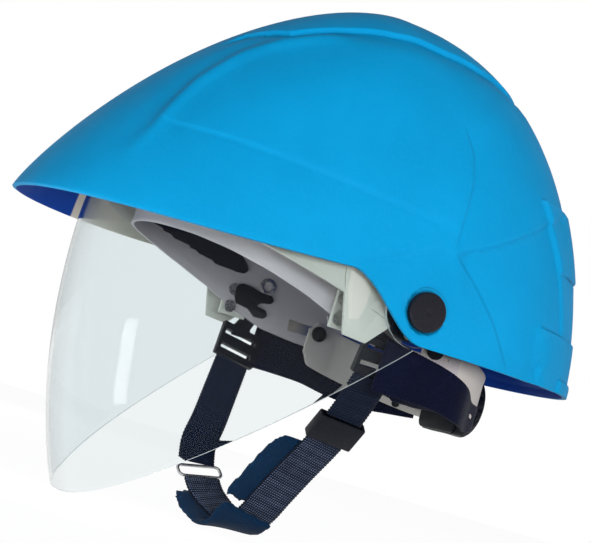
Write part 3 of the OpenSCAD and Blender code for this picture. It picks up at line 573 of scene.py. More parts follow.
def linear(rgb: Triple) -> tuple[float, float, float, float]:
    """Turns a screen colour into the renderer's own numbers.

    Args:
        rgb: the colour as a screen shows it, from 0 to 255.

    Returns:
        The colour and a full alpha.
    """
    parts = [c / 255 for c in rgb]
    r, g, b = (c / 12.92 if c <= 0.04045 else ((c + 0.055) / 1.055) ** 2.4 for c in parts)
    return (r, g, b, 1.0)


def shade(colour: Sequence[float], share: float, added: float = 0.0) -> tuple[float, ...]:
    """A renderer's colour made darker by a share or paler by an addition."""
    return tuple(min(1.0, c * share + added) for c in colour[:3]) + (1.0,)


class Graph:
    """The nodes of a material or a world, added one by one."""

    def __init__(self, owner: Any, output: str = "ShaderNodeOutputMaterial") -> None:
        """Starts with an output and nothing else.

        Args:
            owner: the material or world.
            output: the type of its output node.
        """
        self.owner = owner
        owner.use_nodes = True
        self.tree = owner.node_tree
        self.tree.nodes.clear()
        self.output = self.node(output)

    def node(
        self, kind: str, inputs: Optional[dict[Any, Any]] = None, **settings: Any
    ) -> bpy.types.Node:
        """Adds a node.

        Args:
            kind: its type.
            inputs: values or sockets for its inputs, by name or place.
            **settings: its own properties.

        Returns:
            The node.
        """
        made = self.tree.nodes.new(kind)
        for key, value in settings.items():
            setattr(made, key, value)
        for key, value in (inputs or {}).items():
            socket = made.inputs[key]
            if isinstance(value, bpy.types.NodeSocket):
                self.tree.links.new(value, socket)
            else:
                socket.default_value = value
        return made

    def place(self) -> bpy.types.NodeSocket:
        """The place on the piece, in the piece's own frame."""
        return self.node("ShaderNodeTexCoord").outputs["Object"]

    def noise(
        self, vector: bpy.types.NodeSocket, size: float, detail: float = 3.0
    ) -> bpy.types.NodeSocket:
        """Soft noise with patches of a size in millimetres."""
        inputs = {"Vector": vector, "Scale": 1000 / size, "Detail": detail}
        return self.node("ShaderNodeTexNoise", inputs).outputs["Fac"]

    def remap(self, value: bpy.types.NodeSocket, low: Pair, high: Pair) -> bpy.types.NodeSocket:
        """Carries a range of values onto another.

        Args:
            value: what is carried over.
            low: a value and what it becomes.
            high: a higher value and what it becomes.

        Returns:
            The result, held at the ends.
        """
        inputs = {
            "Value": value, "From Min": low[0], "To Min": low[1],
            "From Max": high[0], "To Max": high[1],
        }
        return self.node("ShaderNodeMapRange", inputs).outputs["Result"]

    def vary(self, noise: bpy.types.NodeSocket, low: float, high: float) -> bpy.types.NodeSocket:
        """Spreads noise, which seldom leaves 0.3 to 0.7, over a range of values."""
        return self.remap(noise, (0.3, low), (0.7, high))

    def sum(self, kind: str, a: Any, b: Any) -> bpy.types.NodeSocket:
        """One step of arithmetic on two values or sockets."""
        return self.node("ShaderNodeMath", {0: a, 1: b}, operation=kind).outputs[0]

    def tint(self, share: Any, a: Any, b: Any) -> bpy.types.NodeSocket:
        """A share of colour b over colour a."""
        made = self.node("ShaderNodeMix", {0: share, 6: a, 7: b}, data_type="RGBA")
        return made.outputs[2]

    def bump(self, height: bpy.types.NodeSocket, depth: float) -> bpy.types.NodeSocket:
        """A normal from a height of 0 to 1 that stands for a depth in millimetres."""
        inputs = {"Height": height, "Distance": depth * MM, "Strength": 1.0}
        return self.node("ShaderNodeBump", inputs).outputs["Normal"]

    def seen_rays(self, mirror_share: float = 1.0) -> bpy.types.NodeSocket:
        """Tells the rays that see the background from those that light the object.

        Args:
            mirror_share: what a mirror's rays get.

        Returns:
            1 for rays from the camera or clear plastic, and 0 for the rest.
        """
        rays = self.node("ShaderNodeLightPath").outputs
        gloss = self.sum("MULTIPLY", rays["Is Glossy Ray"], mirror_share)
        seen = self.sum("MAXIMUM", rays["Is Camera Ray"], gloss)
        return self.sum("MAXIMUM", seen, rays["Is Transmission Ray"])

    def blend(self, share: Any, a: bpy.types.Node, b: bpy.types.Node) -> Any:
        """Sends a share of shader b over shader a to the output and returns the owner."""
        both = self.node("ShaderNodeMixShader", {0: share, 1: a.outputs[0], 2: b.outputs[0]})
        return self.finish(both)

    def surface(self, inputs: dict[Any, Any]) -> bpy.types.Material:
        """Sends a principled shader with these inputs to the output and returns the material."""
        return self.finish(self.node("ShaderNodeBsdfPrincipled", inputs))

    def finish(self, shader: bpy.types.Node) -> Any:
        """Sends a shader to the output and returns the owner."""
        self.tree.links.new(shader.outputs[0], self.output.inputs["Surface"])
        return self.owner


@dataclass(frozen=True)
class Finish:
    """A finish, named for what it is on."""

    name: str

    def dress(self) -> bpy.types.Material:
        """Builds the finish's nodes.

        Returns:
            The material.
        """
        raise NotImplementedError


@dataclass(frozen=True)
class MouldedPlastic(Finish):
    """Injection-moulded plastic: a fine grain, slight mottling, rubbed edges and painted shade in
    its grooves and recesses.

    The grain's depth and size, the patches, the smears and the reach of the painted groove shade
    are millimetres.
    """

    colour: Triple
    roughness: float
    grain: float = 0.05
    grain_size: float = 0.9
    patch: float = 46
    smear: float = 17
    mottle: float = 0.06
    rub: float = 0.2
    shine: float = 0.5
    groove_shade: float = 0.0
    groove_shade_reach: float = 2.6

    def dress(self) -> bpy.types.Material:
        """Builds the finish's nodes.

        Returns:
            The material.
        """
        g = Graph(bpy.data.materials.new(self.name))
        place = g.place()
        fine = g.noise(place, self.grain_size)
        base = linear(self.colour)
        dark = shade(base, 1 - 2 * self.mottle)
        pale = shade(base, 1 + self.mottle, 0.02)
        colour = g.tint(g.vary(g.noise(place, self.patch), 0.0, 1.0), dark, base)
        colour = g.tint(g.remap(fine, (0.42, 0.0), (0.72, self.mottle * 4)), colour, pale)
        point = g.node("ShaderNodeNewGeometry").outputs["Pointiness"]
        colour = g.tint(g.remap(point, (0.53, 0.0), (0.62, self.rub)), colour, pale)
        # Painted shade: ambient occlusion darkens the colour in grooves, recesses and where parts
        # meet, where shade falls.
        if self.groove_shade > 0:
            reach = {"Distance": self.groove_shade_reach * MM}
            occlusion = g.node("ShaderNodeAmbientOcclusion", reach).outputs["AO"]
            shade_tone = shade(base, 0.3)
            colour = g.tint(g.remap(occlusion, (0.6, self.groove_shade), (0.96, 0.0)), colour, shade_tone)
        smears = g.noise(place, self.smear, 4)
        return g.surface({
            "Base Color": colour, "Specular IOR Level": self.shine,
            "Roughness": g.vary(smears, self.roughness - 0.04, self.roughness + 0.05),
            "Normal": g.bump(fine, self.grain),
        })


@dataclass(frozen=True)
class LinedPlastic(Finish):
    """The shell's inner face: bare in the peak and at the rear, and pale between."""

    bare: Triple
    lining: Triple
    front: float
    rear: float
    front_blur: float = 0.8
    rear_blur: float = 12
    roughness: float = 0.6

    def dress(self) -> bpy.types.Material:
        """Builds the finish's nodes.

        Returns:
            The material.
        """
        g = Graph(bpy.data.materials.new(self.name))
        place = g.place()
        along = g.node("ShaderNodeSeparateXYZ", {0: place}).outputs["Y"]
        start, end = self.front * MM, self.rear * MM
        after = g.remap(along, (start, 0.0), ((self.front + self.front_blur) * MM, 1.0))
        before = g.remap(along, (end, 1.0), ((self.rear + self.rear_blur) * MM, 0.0))
        broad = g.noise(place, 30)
        dulled = linear(tuple(c * 0.93 for c in self.lining))
        patchy = g.tint(g.vary(broad, 0.0, 1.0), linear(self.lining), dulled)
        return g.surface({
            "Base Color": g.tint(g.sum("MULTIPLY", after, before), linear(self.bare), patchy),
            "Roughness": g.vary(broad, self.roughness - 0.05, self.roughness + 0.08),
            "Specular IOR Level": 0.2, "Normal": g.bump(g.noise(place, 1.2), 0.05),
        })


@dataclass(frozen=True)
class ClearSheet(Finish):
    """Clear plastic that lets lamps through, with faint wiping marks."""

    tint: Triple
    roughness: float
    bend: float = 1.16

    def dress(self) -> bpy.types.Material:
        """Builds the finish's nodes.

        Returns:
            The material.
        """
        g = Graph(bpy.data.materials.new(self.name))
        place = g.place()
        squeeze = {"Vector": place, "Scale": (1.0, 1.0, 0.15)}
        marks = g.noise(g.node("ShaderNodeMapping", squeeze).outputs[0], 5, 4)
        rough = g.remap(marks, (0.45, self.roughness), (0.75, self.roughness + 0.03))
        edge_on = g.node("ShaderNodeLayerWeight", {"Blend": 0.35}).outputs["Facing"]
        deep = linear(tuple(c * 0.72 for c in self.tint))
        depth = g.remap(edge_on, (0.45, 0.0), (1.0, 1.0))
        glass = g.node("ShaderNodeBsdfPrincipled", {
            "Base Color": g.tint(depth, linear(self.tint), deep),
            "Roughness": rough, "IOR": self.bend, "Transmission Weight": 1.0,
        })
        open_way = g.node("ShaderNodeBsdfTransparent", {"Color": linear(self.tint)})
        lamp_ray = g.node("ShaderNodeLightPath").outputs["Is Shadow Ray"]
        return g.blend(lamp_ray, glass, open_way)


@dataclass(frozen=True)
class Woven(Finish):
    """Webbing: threads laid along the strap's own map, which is in metres.

    The pitch is the threads' spacing along and across. The raised threads are painted paler as a
    painted highlight, starting after dark_until, a length along the strap in millimetres.
    """

    thread: Triple
    painted_highlight: Triple
    pitch: Pair
    relief: float = 0.16
    fuzz: float = 0.35
    dark_until: float = 0.0

    def dress(self) -> bpy.types.Material:
        """Builds the finish's nodes.

        Returns:
            The material.
        """
        g = Graph(bpy.data.materials.new(self.name))
        coordinates = g.node("ShaderNodeTexCoord")
        split = g.node("ShaderNodeSeparateXYZ", {0: coordinates.outputs["UV"]})
        waves = []
        for axis, pitch in zip("XY", self.pitch):
            turn = g.sum("MULTIPLY", split.outputs[axis], math.pi / (pitch * MM))
            waves.append(g.sum("ABSOLUTE", g.sum("SINE", turn, 0.0), 0.0))
        over = g.sum("MULTIPLY", waves[0], waves[1])
        fuzz = g.noise(coordinates.outputs["Object"], 0.5)
        patchy = g.noise(coordinates.outputs["Object"], 9)
        height = g.sum("ADD", over, g.sum("MULTIPLY", fuzz, self.fuzz))
        # Painted highlight: the raised threads take the paler colour, in patches.
        raised = g.remap(over, (0.35, 0.0), (0.95, 1.0))
        share = g.sum("MULTIPLY", raised, g.vary(patchy, 0.55, 1.0))
        if self.dark_until:
            start = self.dark_until * MM
            plain = g.remap(split.outputs["X"], (start, 0.12), (start + 0.006, 1.0))
            share = g.sum("MULTIPLY", share, plain)
        return g.surface({
            "Base Color": g.tint(share, linear(self.thread), linear(self.painted_highlight)),
            "Roughness": g.vary(fuzz, 0.72, 0.9),
            "Sheen Weight": 0.04, "Sheen Roughness": 0.5, "Specular IOR Level": 0.12,
            "Normal": g.bump(height, self.relief),
        })


@dataclass(frozen=True)
class PadCloth(Finish):
    """Knitted or brushed cloth over foam."""

    colour: Triple
    painted_highlight: Triple
    knit: float
    relief: float = 0.18

    def dress(self) -> bpy.types.Material:
        """Builds the finish's nodes.

        Returns:
            The material.
        """
        g = Graph(bpy.data.materials.new(self.name))
        place = g.place()
        stitches = {"Vector": place, "Scale": 1000 / self.knit}
        cells = g.node("ShaderNodeTexVoronoi", stitches).outputs["Distance"]
        patchy = g.noise(place, 14)
        # Painted highlight: the raised knit takes the paler colour, in patches.
        raised = g.remap(cells, (0.15, 0.0), (0.6, 0.7))
        share = g.sum("MULTIPLY", raised, g.vary(patchy, 0.4, 1.0))
        return g.surface({
            "Base Color": g.tint(share, linear(self.colour), linear(self.painted_highlight)),
            "Roughness": g.vary(patchy, 0.78, 0.92),
            "Sheen Weight": 0.05, "Sheen Roughness": 0.45, "Specular IOR Level": 0.1,
            "Normal": g.bump(cells, self.relief),
        })


@dataclass(frozen=True)
class Metal(Finish):
    """Plated steel with fine turning marks."""

    colour: Triple
    roughness: float
    dull: Triple = (120, 118, 112)

    def dress(self) -> bpy.types.Material:
        """Builds the finish's nodes.

        Returns:
            The material.
        """
        g = Graph(bpy.data.materials.new(self.name))
        place = g.place()
        marks = g.noise(place, 0.6, 4)
        stain = g.remap(g.noise(place, 6), (0.4, 0.0), (0.75, 0.35))
        return g.surface({
            "Base Color": g.tint(stain, linear(self.colour), linear(self.dull)),
            "Metallic": 1.0,
            "Roughness": g.vary(marks, self.roughness - 0.08, self.roughness + 0.1),
            "Normal": g.bump(marks, 0.02),
        })


@lru_cache(maxsize=None)
def dressed(finish: Finish) -> bpy.types.Material:
    """A finish's material, made once."""
    return finish.dress()


# The shell's grooves and recesses, its mould lines among them, are painted darker as shade.
SHELL_PLASTIC = MouldedPlastic(
    "shell_plastic", (6, 150, 208), 0.55, grain=0.07, grain_size=1.1, mottle=0.05, shine=0.08,
    groove_shade=0.85,
)
SHELL_LINING = LinedPlastic("shell_inner_face", (6, 66, 165), (236, 226, 212), front=-114, rear=46)
CLEAR_PLASTIC = ClearSheet("clear_visor_sheet", (238, 243, 244), 0.02)
CLEAR_EDGE = MouldedPlastic("visor_cut_edge", (214, 220, 220), 0.3, mottle=0.02)
WHITE_PLASTIC = MouldedPlastic(
    "white_carrier_plastic", (188, 188, 180), 0.45, mottle=0.03, shine=0.25,
)
REAR_PLASTIC = MouldedPlastic("rear_arm_plastic", (196, 190, 184), 0.5, mottle=0.03, shine=0.2)
GREY_PLASTIC = MouldedPlastic("grey_band_plastic", (180, 174, 177), 0.5, mottle=0.05, shine=0.2)
BLACK_PLASTIC = MouldedPlastic(
    "black_trim_plastic", (7, 10, 20), 0.42, grain=0.06, mottle=0.08, rub=0.3, shine=0.12,
)
CAP_PLASTIC = MouldedPlastic("pivot_cap_plastic", (22, 22, 30), 0.46, rub=0.3, shine=0.25)
STEEL = Metal("plated_steel", (196, 196, 198), 0.28)
# The second colour of each webbing and cloth is its painted highlight.
STRAP_WEBBING = Woven("strap_webbing", (4, 12, 30), (22, 36, 62), (1.7, 1.1))
MESH_WEBBING = Woven(
    "chin_mesh_webbing", (5, 14, 32), (96, 108, 132), (1.5, 1.25), relief=0.22, dark_until=46,
)
CRADLE_WEBBING = Woven("cradle_webbing", (8, 11, 22), (24, 29, 44), (1.2, 0.9), relief=0.1)
SWEAT_CLOTH = PadCloth("sweatband_cloth", (5, 8, 20), (20, 25, 42), 0.8)
CHIN_CLOTH = PadCloth("chin_pad_cloth", (6, 28, 52), (18, 48, 76), 0.7)
NAPE_CLOTH = PadCloth("nape_cloth", (6, 9, 26), (20, 24, 48), 0.9)


# ---------------------------------------------------------------- the shell


@dataclass(frozen=True)
class MouldStep:
    """A moulded step: the shell drops on one side of a side-view line and rises back slowly.

    The low side is 1 to the left of the line's run and -1 to its right. The reach is how far
    the rise back goes, and the blur and the end fade are how softly the drop starts.
    """

    line: tuple[Pair, ...]
    drop: float
    low_side: float
    reach: float = 22.0
    blur: float = 1.3
    groove: float = 0.8
    groove_w: float = 0.85
    end_fade: float = 9.0
    end_depth: float = 0.12

    def offset(self, y: float, z: float) -> float:
        """How far the step lowers the shell at a side-view place.

        Args:
            y: the place to the rear.
            z: the height.

        Returns:
            The offset, below zero where the shell is lowered.
        """
        gap, from_end = line_distance(self.line, y, z)
        gap *= self.low_side
        fade = ramp(from_end / self.end_fade + self.end_depth)
        groove = -self.groove * math.exp(-((gap / self.groove_w) ** 2)) * fade
        if gap <= 0:
            return groove
        return groove - self.drop * ramp(gap / self.blur) * math.exp(-gap / self.reach) * fade

    def near(self, y: float, z: float, gap: float) -> bool:
        """True within a gap of the line."""
        return abs(line_distance(self.line, y, z)[0]) < gap


@dataclass
class HelmetShell:
    """The peaked outer shell with its crest, ridges, mould lines and rear pads.

    The plan powers shape its oval ahead of and behind its widest place. The dome and crown
    powers shape its rise at the front, the sides and the rear.
    """

    half_w: float = 112.0
    peak: float = 172.0
    rear: float = 150.0
    crown: float = 150.0
    wall: float = 2.4
    widest_y: float = 5.0
    plan_powers: Pair = (2.23, 2.15)
    dome_powers: Triple = (1.68, 2.2, 2.35)
    crown_powers: Triple = (0.85, 0.52, 0.56)
    zone_power: float = 1.9
    under: float = 1.0
    notch: Pair = (-22.0, 22.5)
    ear_drop: float = 25.0
    back_rise: float = 2.5
    peak_rise: float = 2.3
    peak_sag: float = 0.8
    pivot: Pair = (20.5, -8.0)
    crest_line: Table = (
        (-78, 14), (-62, 34), (-35, 44), (-10, 50), (20, 50), (45, 45), (70, 34), (90, 16),
    )
    crest_span: Pair = (-95.0, 105.0)
    crest_step: float = 2.6
    crest_blur: float = 1.9
    groove_w: float = 15.0
    ridge_line: Table = ((-125, 57), (-105, 46), (-85, 42), (-60, 46), (-35, 52))
    ridge_span: Pair = (-140.0, -25.0)
    ridge_h: float = 2.2
    ridge_w: float = 4.6
    trough: float = 1.1
    trough_end: float = -64.0
    form_fade: float = 25.0
    step_x: float = 40.0
    pad_h: float = 2.4
    pad_y: float = 60.0
    pad_half: Pair = (76.0, 90.0)
    pad_levels: tuple[float, ...] = (72.0, 37.5, 5.5, -16.0)
    seat_r: float = 10.9
    seat_depth: float = 1.5
    cells: tuple[int, int] = (168, 50)
    steps: tuple[MouldStep, ...] = (
        MouldStep(((-122, 47), (-90, 46), (-40, 42), (5, 38), (30, 37)), 1.0, -1),
        MouldStep(((27, 92), (34, 78), (35, 62), (32, 42), (30, 26)), 0.9, 1),
        MouldStep(((-22, 5), (2, 15), (17, 22), (30, 26)), 0.9, -1),
        MouldStep(((30, 26), (45, 15), (63, -2), (80, -23)), 0.9, 1, reach=30),
        MouldStep(
            ((30, 26), (55, 38), (82, 54), (108, 72)), 2.0, -1, reach=26, blur=2.6, groove=0.2,
        ),
    )

    @property
    def tip_y(self) -> float:
        """The peak's tip."""
        return self.widest_y - self.peak

    @property
    def back_y(self) -> float:
        """The shell's rear."""
        return self.widest_y + self.rear

    def zoned(self, a: float, values: Triple) -> float:
        """Values for the front, the sides and the rear, mixed for a direction."""
        front, back = lift(math.cos(a), self.zone_power), lift(-math.cos(a), self.zone_power)
        return front * values[0] + (1 - front - back) * values[1] + back * values[2]

    def skin(self, a: float, t: float) -> Triple:
        """The plain surface.

        Args:
            a: direction from the front towards the left, in radians.
            t: rise from the base to the crown, in radians.

        Returns:
            The point.
        """
        c, s = math.cos(a), abs(math.sin(a))
        n, length = (self.plan_powers[0], self.peak) if c > 0 else (self.plan_powers[1], self.rear)
        r = ((s / self.half_w) ** n + (abs(c) / length) ** n) ** (-1 / n)
        y0 = self.widest_y - r * c
        fallen = max(0.0, min(1.0, (y0 - self.tip_y) / (self.notch[1] - self.tip_y)))
        low = -self.ear_drop * fallen + self.back_rise * self.behind_notch(y0) - self.under
        reach = r * lift(math.cos(t), 2 / self.zoned(a, self.dome_powers))
        return (
            reach * math.sin(a), self.widest_y - reach * c,
            low + (self.crown - low) * lift(math.sin(t), 2 * self.zoned(a, self.crown_powers)),
        )

    def behind_notch(self, y: float) -> float:
        """0 as far back as the ear's notch, rising to 1 at the rear."""
        return max(0.0, (y - self.notch[1]) / (self.back_y - self.notch[1]))

    def rim_z(self, y: float) -> float:
        """Follows the rim.

        Args:
            y: the place.

        Returns:
            The height: sagging in the peak, steep at the ear and level behind.
        """
        u = max(0.0, min(1.0, (y - self.tip_y) / (self.notch[0] - self.tip_y)))
        front = self.peak_rise * u**3 - self.peak_sag * math.sin(math.pi * u)
        back = -self.ear_drop + self.back_rise * self.behind_notch(y)
        return mix(front, back, ramp((y - self.notch[0]) / (self.notch[1] - self.notch[0])))

    @lru_cache(maxsize=None)
    def rim_rise(self, a: float) -> float:
        """Finds where the surface meets the rim.

        Args:
            a: the direction, in radians.

        Returns:
            The rise, in radians.
        """
        low, high = 0.0, 0.7
        for _ in range(22):
            t = (low + high) / 2
            _, y, z = self.skin(a, t)
            low, high = (t, high) if z < self.rim_z(y) else (low, t)
        return high

    __hash__ = object.__hash__

    def normal(self, a: float, t: float) -> Vector:
        """The plain surface's outward direction.

        Args:
            a: direction from the front towards the left, in radians.
            t: rise from the base to the crown, in radians.

        Returns:
            A direction of length 1.
        """
        d = 0.008
        t = max(0.02, min(1.535, t))
        across = Vector(self.skin(a + d, t)) - Vector(self.skin(a - d, t))
        up = Vector(self.skin(a, t + d)) - Vector(self.skin(a, t - d))
        return across.cross(up).normalized()

    def relief(self, x: float, y: float, z: float) -> float:
        """How far the moulded forms stand over the plain surface at a point.

        Args:
            x: the place to the left.
            y: the place to the rear.
            z: the height.

        Returns:
            The height, below zero in a groove.
        """
        x = abs(x)
        edge = lookup(y, self.crest_line)
        groove = ramp((edge + self.groove_w - x) / self.groove_w) * self.faded(y, self.crest_span)
        drop = ramp((x - edge) / self.crest_blur)
        sunk = -self.crest_step * groove * drop if z > 60 else 0.0
        d = (x - lookup(y, self.ridge_line)) / self.ridge_w
        dip = self.trough * math.exp(-((d + 2.1) ** 2)) * ramp((self.trough_end - y) / 16)
        raised = (self.ridge_h * math.exp(-d * d) - dip) * self.faded(y, self.ridge_span)
        steps = sum(step.offset(y, z) for step in self.steps) if x > self.step_x else 0.0
        return sunk + raised + steps + self.pad(x, y, z) + self.cap_seat(x, y, z)

    def faded(self, y: float, span: Pair) -> float:
        """1 within a span along Y, fading to 0 at its ends."""
        return ramp((y - span[0]) / self.form_fade) * ramp((span[1] - y) / self.form_fade)

    def pad(self, x: float, y: float, z: float) -> float:
        """The rear pad.

        Args:
            x: the place to the left.
            y: the place to the rear.
            z: the height.

        Returns:
            The height of its three levels and flared foot.
        """
        if y < self.pad_y - 2:
            return 0.0
        top, middle, low, foot = self.pad_levels
        start = ramp((y - self.pad_y) / 4)
        narrow, wide = (ramp((half - x) / 1.6) * start for half in self.pad_half)
        return max(
            self.pad_h * (ramp((z - (middle - 0.5)) / 1.4) * ramp((top - z) / 1.4)) * narrow,
            self.pad_h * 0.5 * ramp((middle + 0.5 - z) / 1.4) * narrow,
            self.pad_h * ramp((low + 0.5 - z) / 1.4) * wide,
            self.pad_h * 1.6 * ramp((foot + 0.5 - z) / 1.4) * narrow,
        )

    def cap_seat(self, x: float, y: float, z: float) -> float:
        """The round recess that the pivot's cap sits in.

        Args:
            x: the place to the left.
            y: the place to the rear.
            z: the height.

        Returns:
            Its depth, below zero.
        """
        if x < 90:
            return 0.0
        return -self.seat_depth * ramp((self.seat_r - self.from_pivot(y, z)) / 0.8)

    def from_pivot(self, y: float, z: float) -> float:
        """How far a side-view place is from the pivot."""
        return math.hypot(y - self.pivot[0], z - self.pivot[1])

    def by_crest(self, x: float, y: float, z: float, ahead: float, gap: float) -> bool:
        """True within a gap of a line a little outside the crest's edge."""
        return z > 70 and abs(x - lookup(y, self.crest_line) - ahead) < gap and -90 < y < 100

    def detailed(self, x: float, y: float, z: float) -> bool:
        """Tells where the surface needs small cells.

        Args:
            x: the place to the left.
            y: the place to the rear.
            z: the height.

        Returns:
            True beside the crest, ridges, pads, cap seat and steps.
        """
        x = abs(x)
        if self.by_crest(x, y, z, 1.3, 3.5):
            return True
        if abs(x - lookup(y, self.ridge_line)) < 7 and -135 < y < self.ridge_span[1]:
            return True
        if y > self.pad_y and x < self.pad_half[1] + 3:
            by_level = any(abs(z - level) < 2.6 for level in self.pad_levels)
            if by_level or abs(x - (self.pad_half[0] - 0.5)) < 2.6:
                return True
        if x > 90 and abs(self.from_pivot(y, z) - (self.seat_r - 0.5)) < 2.4:
            return True
        return x > self.step_x and any(step.near(y, z, 2.6) for step in self.steps)

    def fine(self, x: float, y: float, z: float) -> bool:
        """Tells where the surface needs its smallest cells.

        Args:
            x: the place to the left.
            y: the place to the rear.
            z: the height.

        Returns:
            True at the crest's edge and along the steps' grooves.
        """
        x = abs(x)
        if self.by_crest(x, y, z, 1.0, 1.8):
            return True
        return x > self.step_x and any(step.near(y, z, 1.5) for step in self.steps)

    def at(self, u: float, v: float) -> Vector:
        """The finished surface.

        Args:
            u: the share round it.
            v: the share up it.

        Returns:
            The point.
        """
        a, t = self.angles(u, v)
        plain = self.skin(a, t)
        return Vector(plain) + self.normal(a, t) * self.relief(*plain)

    def angles(self, u: float, v: float) -> Pair:
        """The direction and the rise for shares round the shell and up it."""
        a = math.pi + math.tau * u
        return a, mix(self.rim_rise(round(a, 9)), math.pi / 2, v)

    def build(self) -> None:
        """Models the shell, and the bosses inside it that the pivots go through."""
        bm = flat_grid(*self.cells)
        for test in (self.detailed, self.detailed, self.fine):
            picked = set()
            for face in bm.faces:
                centre = face.calc_center_median()
                if test(*self.skin(*self.angles(centre.x, centre.y))):
                    picked.update(face.edges)
            bmesh.ops.subdivide_edges(bm, edges=list(picked), cuts=1, use_grid_fill=True)
        bend(bm, self.at)
        bmesh.ops.remove_doubles(bm, verts=bm.verts, dist=0.01)
        Piece(
            "helmet_shell", SHELL_PLASTIC, Body.HELMET, Slot.SHELL, ("outer_shell",),
            wall=self.wall, rim=0.5, inner_finish=SHELL_LINING,
        ).settle(bm)
        bore, end = 3.1, 104.6
        ring = ((bore, end), (11.4, end), (12, end + 0.6), (12, 110), (bore, 110), (bore, end))
        boss = stand(turned(ring), (0, *self.pivot), (1, 0, 0))
        Piece("pivot_bosses", SHELL_PLASTIC, Body.HELMET, Slot.SHELL).settle(both_sides(boss))


# ---------------------------------------------------------------- the face shield


